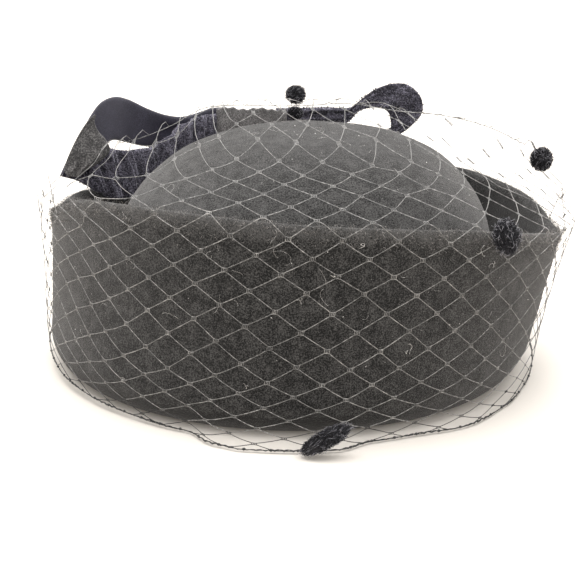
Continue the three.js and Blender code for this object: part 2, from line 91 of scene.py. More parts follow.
# Rim: azimuth in degrees with 0 in front, height
RIM_HEIGHT = (
    (-180, 67), (-165, 64), (-150, 62), (-135, 63), (-120, 67), (-105, 70.5), (-92, 68), (-80, 73),
    (-70, 80), (-60, 88), (-45, 92), (-30, 94), (-15, 93.5), (0, 92.5), (15, 91), (30, 88.5), (45, 83),
    (60, 77), (75, 70.5), (90, 66), (105, 71), (120, 73.5), (135, 76), (150, 75), (165, 71), (180, 67),
)
RIM_SMOOTHING = 4  # degrees

# Dents of the crown: azimuth, height, spread in degrees, reach in millimetres, depth
DENTS = (
    (112, 92, 24, 18, 3.2),
    (-52, 96, 20, 16, 1.6),
    (20, 84, 26, 14, 1.4),
)

# Slow waves of the felt: waves round the hat, depth, turn in front, turn for each millimetre of height
SLOW_WAVES = (
    (2, 0.7, 0.6, 0.0),
    (5, 0.45, 0.0, 1 / 23),
)
WAVES_FROM = 12.0  # height at which they set in
WAVES_FULL = 45.0

# Small lumps of the felt: size, depth, seed
CROWN_LUMPS = ((14, 0.35, 3.1), (4.5, 0.1, 8.4))
CUFF_LUMPS = ((16, 0.45, 1.7), (5, 0.12, 6.2))
CROWN_EVEN_FOOT = (1, 10)  # heights between which the lumps grow
CUFF_EVEN_FOOT = (3, 14)


def smooth(t):
    t = np.clip(t, 0, 1)
    return t * t * (3 - 2 * t)


def rise_between(value, low, high):
    return smooth((np.asarray(value, float) - low) / (high - low))


def smoothed_rim():
    """The rim's height for each whole degree, with its table's corners eased."""
    angles, heights = np.array(RIM_HEIGHT, float).T
    degrees = np.arange(-180, 180)
    plain = np.interp(degrees, angles, heights)
    reach = 3 * RIM_SMOOTHING
    window = np.exp(-0.5 * (np.arange(-reach, reach + 1) / RIM_SMOOTHING) ** 2)
    wrapped = np.concatenate([plain[-reach:], plain, plain[:reach]])
    eased = np.convolve(wrapped, window / window.sum(), mode="valid")
    return np.append(degrees, 180), np.append(eased, eased[0])


RIM_DEGREES, RIM_EASED = smoothed_rim()


def rim_height(azimuth):
    return np.interp((np.asarray(azimuth, float) + 180) % 360 - 180, RIM_DEGREES, RIM_EASED)


def felt_point(azimuth, radius, height):
    a = np.radians(azimuth)
    x = radius * np.sin(a) + LEAN * height
    y = -radius * np.cos(a) * LENGTH_RATIO
    return np.stack(np.broadcast_arrays(x, y, height), axis=-1)


def crown_radius(height, inset=0.0):
    share = np.clip(np.asarray(height, float) / (CROWN_HEIGHT - inset), 0, 1)
    side = 1 - share ** CROWN_ROUND_TOP
    return (CROWN_HALF_WIDTH - inset) * side ** (1 / CROWN_ROUND_SIDE)


def dent_depth(azimuth, height):
    depth = 0.0
    for at, up, spread, reach, deep in DENTS:
        depth = depth + deep * np.exp(-((azimuth - at) / spread) ** 2 - ((height - up) / reach) ** 2)
    return depth


def unevenness(azimuth, height):
    a = np.radians(azimuth)
    slow = sum(depth * np.sin(waves * a + turn + rise * height) for waves, depth, turn, rise in SLOW_WAVES)
    return rise_between(height, WAVES_FROM, WAVES_FULL) * slow


def crown_reach(azimuth, radius, height):
    """The dome's radius with its dents and slow waves, which fade towards its top."""
    shift = unevenness(azimuth, height) - dent_depth(azimuth, height)
    return radius + shift * np.minimum(1, radius / CROWN_HALF_WIDTH * CROWN_EVEN_TOP)


def lumps(points, size, depth, seed):
    """Soft noise for each point, as wide as size and as high as depth, in millimetres."""
    flat = points.reshape(-1, 3) / size + seed
    values = [noise.noise(Vector(p)) for p in flat]
    return depth * np.array(values).reshape(points.shape[:-1])


def lumpy(points, outwards, table, height, even_foot):
    """The points moved outwards by a table of lumps, which grow from an even foot."""
    relief = sum(lumps(points, *row) for row in table)
    return points + outwards * relief[..., None] * rise_between(height, *even_foot)[..., None]


# Meshes
def grid_faces(rows, columns, wrap_rows, wrap_columns):
    faces = []
    for i in range(rows if wrap_rows else rows - 1):
        for j in range(columns if wrap_columns else columns - 1):
            a = i * columns + j
            b = i * columns + (j + 1) % columns
            c = ((i + 1) % rows) * columns + (j + 1) % columns
            d = ((i + 1) % rows) * columns + j
            faces.append((a, b, c, d))
    return faces


def close_ends(faces, rows, across):
    """Adds the faces that close both ends of a flat tube, whose front is so many points across."""
    wide = 2 * across
    for end in (0, rows - 1):
        for j in range(across - 1):
            a = end * wide + j
            b = end * wide + wide - 1 - j
            faces.append((a, a + 1, b - 1, b))


def place_piece(name, mesh, replaced):
    """Puts a finished mesh in the scene as a named piece and ties it to the frame."""
    mesh.polygons.foreach_set("use_smooth", [True] * len(mesh.polygons))
    piece = bpy.data.objects.new(name, mesh)
    bpy.context.scene.collection.objects.link(piece)
    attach(piece, "root")
    if replaced:
        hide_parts(*replaced)
    return piece


def add_piece(name, points, faces, material, slot, replaced):
    """Makes a piece from millimetre points, with double points merged and its faces turned outwards."""
    mesh = bpy.data.meshes.new(name)
    mesh.from_pydata(((np.asarray(points).reshape(-1, 3) + SHIFT) * MM).tolist(), [], faces)
    work = bmesh.new()
    work.from_mesh(mesh)
    bmesh.ops.remove_doubles(work, verts=work.verts, dist=MERGE_DISTANCE)
    bmesh.ops.recalc_face_normals(work, faces=work.faces)
    work.to_mesh(mesh)
    work.free()
    mesh.materials.append(material)
    return place_piece(name, mesh, replaced)


def curve_through(points, shares):
    """Points at shares of the way along a centripetal Catmull-Rom curve through the given points."""
    p = np.asarray(points, float)
    p = np.vstack([2 * p[0] - p[1], p, 2 * p[-1] - p[-2]])
    at = np.clip(np.asarray(shares, float), 0, 1) * (len(p) - 3)
    first = np.minimum(at.astype(int), len(p) - 4)
    t = (at - first)[:, None]
    p0, p1, p2, p3 = (p[first + k] for k in range(4))
    gap0, gap1, gap2 = (np.maximum(np.linalg.norm(b - a, axis=1), 1e-6)[:, None] ** 0.5
                        for a, b in ((p0, p1), (p1, p2), (p2, p3)))
    start = ((p1 - p0) / gap0 - (p2 - p0) / (gap0 + gap1) + (p2 - p1) / gap1) * gap1
    end = ((p2 - p1) / gap1 - (p3 - p1) / (gap1 + gap2) + (p3 - p2) / gap2) * gap1
    bend = 3 * (p2 - p1) - 2 * start - end
    twist = 2 * (p1 - p2) + start + end
    return p1 + start * t + bend * t ** 2 + twist * t ** 3


def unit(v):
    return v / np.maximum(np.linalg.norm(v, axis=-1, keepdims=True), 1e-9)


class Threads:
    """Gathers thin round threads into one mesh, each a closed tube along a line of points.
    A thread's shade is the place of its material in the piece's list of materials."""

    def __init__(self):
        self.points = []
        self.faces = []
        self.shades = []

    def add(self, line, radius, sides=4, taper=None, shade=0):
        line = np.asarray(line, float)
        ahead = unit(np.gradient(line, axis=0))
        side = unit(np.cross(ahead, np.where(np.abs(ahead[:, 2:3]) > 0.9, [[1.0, 0, 0]], [[0, 0, 1.0]])))
        up = np.cross(side, ahead)
        widths = radius * (np.ones(len(line)) if taper is None else np.asarray(taper, float))
        start = len(self.points)
        for k in range(len(line)):
            for s in range(sides):
                turn = 2 * math.pi * s / sides
                self.points.append(line[k] + widths[k] * (math.cos(turn) * side[k] + math.sin(turn) * up[k]))
        for k in range(len(line) - 1):
            for s in range(sides):
                a = start + k * sides + s
                b = start + k * sides + (s + 1) % sides
                self.faces.append((a, b, b + sides, a + sides))
        self.faces.append(tuple(start + s for s in range(sides))[::-1])
        self.faces.append(tuple(start + (len(line) - 1) * sides + s for s in range(sides)))
        self.shades.extend([shade] * (len(self.faces) - len(self.shades)))

    def piece(self, name, materials, slot, replaced=()):
        mesh = bpy.data.meshes.new(name)
        mesh.from_pydata(((np.array(self.points) + SHIFT) * MM).tolist(), [], self.faces)
        for material in materials:
            mesh.materials.append(material)
        mesh.polygons.foreach_set("material_index", self.shades)
        return place_piece(name, mesh, replaced)


# Materials
def linear(code):
    """Turns an sRGB hex colour to the linear values that shaders take."""
    parts = [int(code[k:k + 2], 16) / 255 for k in (1, 3, 5)]
    return tuple(c / 12.92 if c <= 0.04045 else ((c + 0.055) / 1.055) ** 2.4 for c in parts) + (1.0,)


def add_node(tree, kind, settings=(), links=()):
    """Adds a node. Settings go to its attributes or sockets, and links are a (node, output) for a socket."""
    node = tree.nodes.new(kind)
    for key, value in dict(settings).items():
        if isinstance(key, str) and hasattr(node, key):
            setattr(node, key, value)
        else:
            node.inputs[key].default_value = value
    for key, (source, output) in dict(links).items():
        tree.links.new(source.outputs[output], node.inputs[key])
    return node


FINE_SHARE = 0.8  # shares of the fine and the broad noise in a cloth's colour
BROAD_SHARE = 0.2
PAINTED_LIGHT_PALER = 0.13  # how far painted light takes the nap towards the pale end of its colours, and painted shade the other way

# Where the noise gives the dark, the light and the pale colour, and how much lighter than light pale is
DARK_STOP = 0.46
LIGHT_STOP = 0.55
PALE_STOP = 0.8
PALE_TIMES = 2.4
BUMP_STRENGTH = 0.9


def cloth_material(name, dark, light, grain, mottle, relief, roughness, ior, specular, sheen,
                   sheen_roughness, tint, alpha=1.0):
    """A cloth whose colour and nap vary by two noises. Grain and mottle are their sizes, and relief their
    depth, in millimetres. Where the mesh carries painted light the nap is paler, and where it carries painted
    shade it is darker."""
    material = bpy.data.materials.new(name)
    material.use_nodes = True
    tree = material.node_tree
    tree.nodes.clear()
    place = add_node(tree, "ShaderNodeTexCoord")
    fine = add_node(tree, "ShaderNodeTexNoise", {"Scale": 1 / (grain * MM), "Detail": 3.0, "Roughness": 0.7},
                    {"Vector": (place, "Object")})
    broad = add_node(tree, "ShaderNodeTexNoise",
                     {"Scale": 1 / (mottle * MM), "Detail": 2.0, "Roughness": 0.5},
                     {"Vector": (place, "Object")})
    part = add_node(tree, "ShaderNodeMath", {"operation": "MULTIPLY", 1: BROAD_SHARE}, {0: (broad, "Fac")})
    blend = add_node(tree, "ShaderNodeMath", {"operation": "MULTIPLY_ADD", 1: FINE_SHARE},
                     {0: (fine, "Fac"), 2: (part, 0)})
    # painted light and shade, as marked on the felt's meshes
    painted_light_shade = add_node(tree, "ShaderNodeAttribute", {"attribute_name": "painted_light_shade"})
    paler = add_node(tree, "ShaderNodeMath", {"operation": "MULTIPLY_ADD", 1: PAINTED_LIGHT_PALER},
                     {0: (painted_light_shade, "Fac"), 2: (blend, 0)})
    ramp = add_node(tree, "ShaderNodeValToRGB", {}, {"Fac": (paler, 0)})
    stops = ramp.color_ramp.elements
    stops[0].position = DARK_STOP
    stops[0].color = linear(dark)
    stops[1].position = LIGHT_STOP
    stops[1].color = linear(light)
    stops.new(PALE_STOP).color = tuple(min(1.0, PALE_TIMES * c) for c in linear(light))
    bump = add_node(tree, "ShaderNodeBump", {"Strength": BUMP_STRENGTH, "Distance": relief * MM},
                    {"Height": (blend, 0)})
    surface = add_node(tree, "ShaderNodeBsdfPrincipled", {
        "Roughness": roughness, "IOR": ior, "Specular IOR Level": specular, "Alpha": alpha,
        "Sheen Weight": sheen, "Sheen Roughness": sheen_roughness, "Sheen Tint": linear(tint)},
        {"Base Color": (ramp, "Color"), "Normal": (bump, "Normal")})
    add_node(tree, "ShaderNodeOutputMaterial", {}, {"Surface": (surface, "BSDF")})
    return material


# Blocked wool felt: no shine at all, and a short nap that greys it where it is seen edge on. Its fibres are
# finer than the picture shows, so the salt-and-pepper grain is drawn coarser than theirs.
WOOL_FELT = cloth_material(
    "blocked_wool_felt", "#070707", "#393837", grain=0.6, mottle=5.0, relief=0.5, roughness=1.0,
    ior=1.45, specular=0.2, sheen=0.26, sheen_roughness=0.5, tint="#dcd8d5")
# Loose wool ends on that felt: the same wool, paler where single fibres catch the light
WOOL_ENDS = cloth_material(
    "loose_wool_ends", "#56524f", "#928d89", grain=1.2, mottle=9.0, relief=0.02, roughness=1.0,
    ior=1.45, specular=0.2, sheen=0.3, sheen_roughness=0.5, tint="#dcd6d2")
# Cut-pile velvet: dark face on, with a soft light rim where the pile is seen from the side. Its grain is
# that of crushed pile, several tufts wide.
VELVET = cloth_material(
    "cut_pile_velvet", "#2c2a31", "#64616b", grain=0.7, mottle=4.0, relief=0.4, roughness=0.9,
    ior=1.45, specular=0.2, sheen=0.9, sheen_roughness=0.35, tint="#aeabb8")
# Woven rayon ribbon: an even grain and a dull silky sheen, bluish beside the felt. Its threads lie about
# 0.2 mm apart, and the grain is drawn twice as coarse to show.
RIBBON = cloth_material(
    "woven_rayon_ribbon", "#1f1d26", "#312f3a", grain=0.45, mottle=14.0, relief=0.12, roughness=0.55,
    ior=1.5, specular=0.35, sheen=0.35, sheen_roughness=0.4, tint="#b9b6c6")
# The same ribbon's other face: brushed, without the bluish sheen, greyed by a short fuzz
RIBBON_BACK = cloth_material(
    "brushed_rayon_ribbon", "#494746", "#777473", grain=0.45, mottle=8.0, relief=0.15, roughness=0.9,
    ior=1.45, specular=0.2, sheen=0.5, sheen_roughness=0.5, tint="#dcd8d6")
# The loop's turned-over end: that face again, crushed, and darkened with painted shade where it faces the
# light from above
RIBBON_TURNED_SHADED = cloth_material(
    "shaded_crushed_rayon_ribbon", "#242323", "#4b4948", grain=0.8, mottle=5.0, relief=0.2, roughness=0.9,
    ior=1.45, specular=0.2, sheen=0.4, sheen_roughness=0.5, tint="#dcd8d6")
# Nylon net: thin smooth black threads, painted grey as their highlight, that catch light from above and let
# part of it straight through
NYLON = cloth_material(
    "stiff_nylon_net", "#53514e", "#888581", grain=1.5, mottle=20.0, relief=0.02, roughness=0.35,
    ior=1.53, specular=0.8, sheen=0.2, sheen_roughness=0.4, tint="#d8d4d0", alpha=0.75)
# The same net at the hem, where the light comes through it from the table and leaves it dark
NYLON_HEM = cloth_material(
    "nylon_net_hem", "#1d1c1b", "#343230", grain=1.5, mottle=20.0, relief=0.02, roughness=0.35,
    ior=1.53, specular=0.4, sheen=0.0, sheen_roughness=0.4, tint="#d8d4d0")
# Chenille: tufts of cut black rayon
CHENILLE = cloth_material(
    "cut_chenille", "#070708", "#1e1d22", grain=0.6, mottle=3.0, relief=0.3, roughness=0.8,
    ior=1.45, specular=0.3, sheen=0.45, sheen_roughness=0.4, tint="#8e8c92")
# Painted highlight for part of that pile: pale tufts that stand in for tips which catch the light
CHENILLE_LIT_TIPS = cloth_material(
    "chenille_painted_highlight_tips", "#48464b", "#918f94", grain=0.6, mottle=3.0, relief=0.05, roughness=0.6,
    ior=1.5, specular=0.6, sheen=0.5, sheen_roughness=0.4, tint="#c9c7cc")
# Loose lint and hairs on the felt: pale dull fibre
LINT = cloth_material(
    "loose_lint", "#8e8984", "#c9c5c0", grain=1.0, mottle=5.0, relief=0.02, roughness=0.8,
    ior=1.45, specular=0.3, sheen=0.2, sheen_roughness=0.5, tint="#ffffff")


# Crown
def crown_profile():
    """Rings of the dome, up the outside and down the inside, as radius, height and side of the felt."""
    shares = np.sin(np.linspace(0, 1, CROWN_RINGS + 1) * math.pi / 2)
    outer = CROWN_HEIGHT * shares ** CROWN_RING_RISE
    inner = (CROWN_HEIGHT - CROWN_FELT) * shares ** CROWN_RING_RISE
    rings = [(crown_radius(z), z) for z in outer[:-1]] + [(0.0, CROWN_HEIGHT)]
    inside = [(crown_radius(z, CROWN_FELT), z) for z in inner[:-1]] + [(0.0, CROWN_HEIGHT - CROWN_FELT)]
    return np.array(rings + inside[::-1])


def mark_painted_light_shade(piece, painted_at):
    """Marks the painted light and shade on the felt at each point, from its azimuth, radius and height."""
    places = np.empty(len(piece.data.vertices) * 3)
    piece.data.vertices.foreach_get("co", places)
    x, y, z = places.reshape(-1, 3).T / MM - SHIFT[:, None]
    across, along = x - LEAN * z, y / LENGTH_RATIO
    painted_light_shade = painted_at(np.degrees(np.arctan2(across, -along)), np.hypot(across, along), z)
    piece.data.attributes.new("painted_light_shade", "FLOAT", "POINT").data.foreach_set("value", painted_light_shade)


def crown_painted_light(azimuth, radius, z):
    """Painted light on the low part of the dome, where the cuff's rim shades it."""
    return CROWN_PAINTED_LIGHT * (1 - rise_between(z, PAINTED_LIGHT_FULL, PAINTED_LIGHT_ENDS))


def make_crown():
    radius, height = crown_profile().T[:, None, :]
    azimuth = np.linspace(-180, 180, CROWN_STEPS, endpoint=False)[:, None]
    points = felt_point(azimuth, crown_reach(azimuth, radius, height), height)
    outwards = unit(points - np.array(CROWN_MIDDLE))
    points = lumpy(points, outwards, CROWN_LUMPS, height, CROWN_EVEN_FOOT)
    faces = grid_faces(*points.shape[:2], True, True)
    crown = add_piece("crown_felt", points, faces, WOOL_FELT, "wool_felt", ["crown"])
    mark_painted_light_shade(crown, crown_painted_light)


# Cuff
def wall_radius(share):
    return CUFF_BASE + (CUFF_RIM - CUFF_BASE) * ((1 - CUFF_FLARE) * share + CUFF_FLARE * share * share)


def rim_ring(turn):
    """Radius and level of the rounded rim, from turn 0 outside over the crest to pi inside."""
    share = 1 - RIM_ROUND + RIM_ROUND * math.sin(turn)
    return wall_radius(share) - CUFF_FELT / 2 * (1 - math.cos(turn)), CUFF_FOLD_HEIGHT + share


def fold_ring(turn, inset):
    """Radius and height of the fold under the wall, from turn 0 at the foot to a right angle at the wall."""
    radius = CUFF_FOOT + (CUFF_BASE - CUFF_FOOT - inset) * math.sin(turn)
    return radius, inset + (CUFF_FOLD_HEIGHT - inset) * (1 - math.cos(turn))


def cuff_profile():
    """Rings of the cuff from the seam under the fold, up the outside, over the rim and down the inside.
    Each is a radius and either a height in the fold or the fold's height plus a share of the wall."""
    turns = np.linspace(0, math.pi / 2, CUFF_FOLD_RINGS + 1)
    shares = np.linspace(0, 1, CUFF_WALL_RINGS + 1)[1:] * (1 - RIM_ROUND)
    seam = CROWN_HALF_WIDTH + SEAM_GAP
    rings = [(seam, 0.0)]
    rings += [fold_ring(turn, 0) for turn in turns]
    rings += [(wall_radius(share), CUFF_FOLD_HEIGHT + share) for share in shares]
    rings += [rim_ring(turn) for turn in np.linspace(0, math.pi, RIM_RINGS + 1)[1:-1]]
    rings += [(wall_radius(share) - CUFF_FELT, CUFF_FOLD_HEIGHT + share) for share in shares[::-1]]
    rings += [fold_ring(turn, CUFF_FELT) for turn in turns[::-1]]
    rings += [(seam, CUFF_FELT)]
    return np.array(rings)


def cuff_painted_light_shade(azimuth, radius, z):
    """Painted highlight along the rim, and painted shade on the inside."""
    top = rim_height(azimuth)
    share = np.clip((z - CUFF_FOLD_HEIGHT) / (top - CUFF_FOLD_HEIGHT), 0, 1)
    inside = rise_between(wall_radius(share) - radius, CUFF_FELT * 0.5, CUFF_FELT)
    return 1 - rise_between(top - z, 0, RIM_HIGHLIGHT_DEEP) - INSIDE_PAINTED_SHADE * inside


def make_cuff():
    radius, level = cuff_profile().T[:, None, :]
    azimuth = np.linspace(-180, 180, CUFF_STEPS, endpoint=False)[:, None]
    share = np.maximum(level - CUFF_FOLD_HEIGHT, 0)
    wall = CUFF_FOLD_HEIGHT + share * (rim_height(azimuth) - CUFF_FOLD_HEIGHT)
    height = np.where(level <= CUFF_FOLD_HEIGHT, level, wall)
    points = felt_point(azimuth, radius + unevenness(azimuth, height), height)
    outwards = felt_point(azimuth, 1.0, 0 * height)
    points = lumpy(points, outwards, CUFF_LUMPS, height, CUFF_EVEN_FOOT)
    faces = grid_faces(*points.shape[:2], True, True)
    cuff = add_piece("cuff_felt", points, faces, WOOL_FELT, "wool_felt", ["cuff"])
    mark_painted_light_shade(cuff, cuff_painted_light_shade)


make_crown()
make_cuff()

# Velvet band
BAND_LOW = 24.0
BAND_HIGH = 52.0
BAND_RUCHES = 21
BAND_STEPS = 504
BAND_RINGS = 22
BAND_OFF_CROWN = 0.55
BAND_THIN = 0.5
BAND_SWELL = 0.7  # how far the band stands off between its folds
BAND_FOLD = 1.15  # depth of its folds
BAND_CREASE = 0.35  # depth of the three creases in each


def make_band():
    """Velvet gathered upright round the crown's foot, its folds splitting and leaning."""
    azimuth = np.linspace(-180, 180, BAND_STEPS, endpoint=False)[:, None]
    share = np.linspace(0, 1, BAND_RINGS)[None, :]
    height = BAND_LOW + (BAND_HIGH - BAND_LOW) * share + 0 * azimuth
    a = np.radians(azimuth)
    wander = 0.35 * np.sin(3 * a + share * 2.2) + 0.5 * np.sin(7 * a + 1.3)
    fold = 0.5 + 0.5 * np.sin(a * BAND_RUCHES + height / 9 + wander)
    crease = 0.5 + 0.5 * np.sin(a * BAND_RUCHES * 3 - height / 5 + 2 * wander)
    body = np.sin(math.pi * share) ** 0.45
    skin = crown_radius(height) + unevenness(azimuth, height) + BAND_OFF_CROWN
    out = skin + BAND_THIN + body * (BAND_SWELL + BAND_FOLD * fold ** 1.6 + BAND_CREASE * crease)
    back = felt_point(azimuth, skin, height)
    front = felt_point(azimuth, out, height)
    points = np.concatenate([front, back[:, ::-1]], axis=1)
    faces = grid_faces(*points.shape[:2], True, True)
    return add_piece("velvet_band_ruched", points, faces, VELVET, "velvet", ["velvet_band"])


BAND = make_band()

# Bow
RIBBON_THICK = 1.1
GATHER_THICK = 3.0
RIBBON_ROLL = 12  # power that rounds a ribbon's edges; higher is squarer
STRAP_ROLL = 14
THIN_EDGE = 0.02  # least square of a rounded edge's thickness, as a share of the middle's

# Edges of each ribbon, point by point along it
LEFT_LOOP = {
    "outer": (
        (-34, 101.5, 102.6), (-41.5, 100.7, 103), (-57, 94, 99), (-66, 88, 100.5), (-75, 80, 105),
        (-84, 71, 111), (-90, 63, 113.5), (-96, 54, 112), (-100, 47, 107), (-106, 40, 95), (-111, 35, 85),
        (-114, 32, 78),
    ),
    "inner": (
        (-34, 101.5, 88), (-41.5, 100.7, 87), (-57, 93.8, 84.5), (-69, 87, 83.8), (-77, 78, 85.2),
        (-85, 68, 89), (-91, 57, 92), (-93.5, 51, 90.5), (-95, 47, 88), (-97, 42, 86), (-101, 37.5, 81),
        (-106, 34.5, 75.5),
    ),
}
# The same ribbon turned over at the loop's left end, lying in front of it
LEFT_TURN = {
    "outer": (
        (-98.4, 46, 106.8), (-101.4, 43, 103.9), (-104.6, 39, 99.1), (-107.2, 36, 94), (-109.3, 33, 89),
        (-111.1, 31, 83.8), (-111.4, 29.5, 81.1), (-109.9, 29, 78.7),
    ),
    "inner": (
        (-97.6, 46, 106.2), (-98, 44, 103.4), (-96.1, 42.5, 99.1), (-92, 41, 94.9), (-89.8, 39, 90.3),
        (-93.4, 36, 85.7), (-100.1, 33, 81.1), (-103.9, 31.5, 77.8),
    ),
}
RIGHT_LOOP = {
    "outer": (
        (-8, 101.5, 103.2), (-0.6, 100.9, 103.5), (20, 100.5, 104.5), (32, 99, 105), (38, 97, 110),
        (45, 93, 116), (54, 90, 119.5), (62, 88, 119), (68.5, 87, 113), (69.5, 86, 106), (65, 86, 99),
        (57, 88, 92), (42, 93, 88),
    ),
    "inner": (
        (-8, 101.5, 96), (-0.6, 100.9, 96), (20, 100.5, 96), (31, 98.5, 97), (36, 96, 103), (43, 93, 106),
        (49, 91, 106), (52, 90, 103.5), (53, 90, 100), (53.5, 90, 97), (52, 91, 94), (48, 93, 90),
        (40, 96, 86),
    ),
}
GATHER = {
    "outer": (
        (-110, 33, 80), (-104, 40.5, 84), (-94, 49, 89), (-83, 59, 86.5), (-70, 71, 88), (-57, 84, 96.5),
        (-48, 93, 99.5), (-40.6, 98.6, 100),
    ),
    "inner": (
        (-107.5, 36, 76), (-96, 43, 67.5), (-87.5, 50, 62.5), (-77, 60, 62), (-66, 72, 63), (-55, 84, 66),
        (-48, 92, 71), (-40.6, 98.6, 74),
    ),
}

# Waves of the folds: depth in millimetres, radians of turn across the ribbon, and along it
LEFT_PLEATS = (0.55, 17, 6)
LEFT_CREASE = (0.5, 9, 0)
LEFT_SWING = (0.25, 2, 11)
RIGHT_PLEATS = (0.6, 13, 15)
RIGHT_CREASE = (0.2, 21, 9)
RIGHT_SWING = (0.55, 4, 26)
TURN_PLEATS = (0.9, 15, -4)
TURN_SWING = (0.25, 5, 7)
GATHER_FOLDS = (1.8, 2, 18 * math.pi)
GATHER_CREASES = (0.6, -3, 46 * math.pi)
GATHER_SWING = (0.3, 9, 31)
STRAP_CREASES = (0.22, 19, 0)
STRAP_WRINKLES = (0.15, 37, 5)
FRAYED_TOP = (0.6, 7, 0)
FRAYED_TUFTS = (0.5, 23, 0)
FRAYED_CORNER = (1.1, 41, 0)

STRAP_FRAY = 0.8  # share of those waves that the strap's top shows
STRAP_TOP_OFF = 0.9  # how far its top edge lies under the solid's
STRAP_THINNER = 0.35  # and its faces inside the solid's


def wave(fold, u, v, shift=0.0):
    """A row of folds at shares u along and v across a ribbon."""
    depth, across, along = fold
    return depth * np.sin(across * v + along * u + shift)


def bump(u, place, reach):
    """One at a place along the ribbon, falling to nothing beside it."""
    return np.exp(-((u - place) / reach) ** 2)


def rolled(v, power):
    """Thickness over a ribbon's width, from -1 to 1, as its edges round off."""
    return np.sqrt(np.clip(1 - v ** power, THIN_EDGE, 1))


def ribbon_mesh(edges, steps, across, thick, folds):
    """Points and faces of a ribbon between two edge curves, with folds(u, v) out of its face."""
    u = np.linspace(0, 1, steps)
    v = np.linspace(0, 1, across)
    outer = curve_through(edges["outer"], u)[:, None, :]
    inner = curve_through(edges["inner"], u)[:, None, :]
    middle = outer + (inner - outer) * v[None, :, None]
    ahead = np.gradient(middle, axis=0)
    face = unit(np.cross(ahead, inner - outer))
    shift = folds(u[:, None], v[None, :])
    half = thick / 2 * rolled(2 * v - 1, RIBBON_ROLL)[None, :]
    sides = [middle + face * (shift + sign * half)[..., None] for sign in (1, -1)]
    points = np.concatenate([sides[0], sides[1][:, ::-1]], axis=1)
    faces = grid_faces(steps, 2 * across, False, True)
    close_ends(faces, steps, across)
    return points.reshape(-1, 3), faces


def left_folds(u, v):
    """Pleats gathered at the loop's left end, and a crease where it leaves the strap."""
    pleats = wave(LEFT_PLEATS, u, v) * rise_between(u, 0.78, 1.0)
    return pleats + wave(LEFT_CREASE, u, v) * bump(u, 0.2, 0.12) + wave(LEFT_SWING, u, v)


def right_folds(u, v):
    """Pleats where the loop leaves the strap, and a slow swing beyond."""
    pleats = wave(RIGHT_PLEATS, u, v) * bump(u, 0.1, 0.16)
    return pleats + wave(RIGHT_SWING, u, v) * rise_between(u, 0.3, 0.5) + wave(RIGHT_CREASE, u, v)


def gather_folds(u, v):
    """Deep gathers with creases between, held flat at both ends."""
    wander = 1.1 * np.sin(9 * u)
    gathers = wave(GATHER_FOLDS, u, v) + wave(GATHER_CREASES, u, v, wander)
    return gathers * np.sin(math.pi * u) ** 0.6 + wave(GATHER_SWING, u, v)


def turn_folds(u, v):
    """Pleats that bunch towards the turned end's tip."""
    return wave(TURN_PLEATS, u, v) * rise_between(u, 0.55, 0.95) + wave(TURN_SWING, u, v)


def make_left_ribbon():
    """The left loop and its turned-over end, which shows the ribbon's brushed face darkened with painted
    shade.
    """
    loop, loop_faces = ribbon_mesh(LEFT_LOOP, 150, 22, RIBBON_THICK, left_folds)
    turn, turn_faces = ribbon_mesh(LEFT_TURN, 90, 22, RIBBON_THICK, turn_folds)
    moved = [tuple(k + len(loop) for k in face) for face in turn_faces]
    piece = add_piece("bow_left_ribbon", np.vstack([loop, turn]), loop_faces + moved, RIBBON, "bow_ribbon",
                      ["bow_left_loop"])
    # the turned end takes the copy of the brushed face with painted shade
    piece.data.materials.append(RIBBON_TURNED_SHADED)
    for flat in piece.data.polygons[len(loop_faces):]:
        flat.material_index = 1
    return piece


def make_strap():
    """The strap behind the crown: folded ribbon with upright creases and a frayed top."""
    wide, thick, high = STRAP_SIZE
    across = np.linspace(-1, 1, 60)[:, None]
    up = np.linspace(0, 1, 70)[None, :]
    fray = wave(FRAYED_CORNER, 0, across) * rise_between(across, 0.55, 0.95)
    fray = fray + wave(FRAYED_TOP, 0, across) + wave(FRAYED_TUFTS, 0, across, 1)
    top = STRAP_PLACE.z + high / 2 - STRAP_TOP_OFF + STRAP_FRAY * fray
    low = STRAP_PLACE.z - high / 2
    x = STRAP_PLACE.x + across * wide / 2
    y = STRAP_PLACE.y + wave(STRAP_CREASES, up, across) + wave(STRAP_WRINKLES, up, across)
    z = low + (top - low) * up
    half = (thick / 2 - STRAP_THINNER) * rolled(across, STRAP_ROLL)
    front, back = (np.stack(np.broadcast_arrays(x, y + side * half, z), axis=-1) for side in (-1, 1))
    points = np.concatenate([front, back[:, ::-1]], axis=1)
    faces = grid_faces(*points.shape[:2], False, True)
    close_ends(faces, *front.shape[:2])
    return add_piece("bow_strap_ribbon", points, faces, RIBBON_BACK, "bow_ribbon", ["bow_centre"])


LEFT = make_left_ribbon()
RIGHT = add_piece("bow_right_ribbon", *ribbon_mesh(RIGHT_LOOP, 170, 22, RIBBON_THICK, right_folds),
                  VELVET, "velvet", ["bow_right_loop"])
GATHERED = add_piece("bow_gathered_velvet", *ribbon_mesh(GATHER, 260, 26, GATHER_THICK, gather_folds),
                     VELVET, "velvet", ["bow_gather"])
STRAP = make_strap()

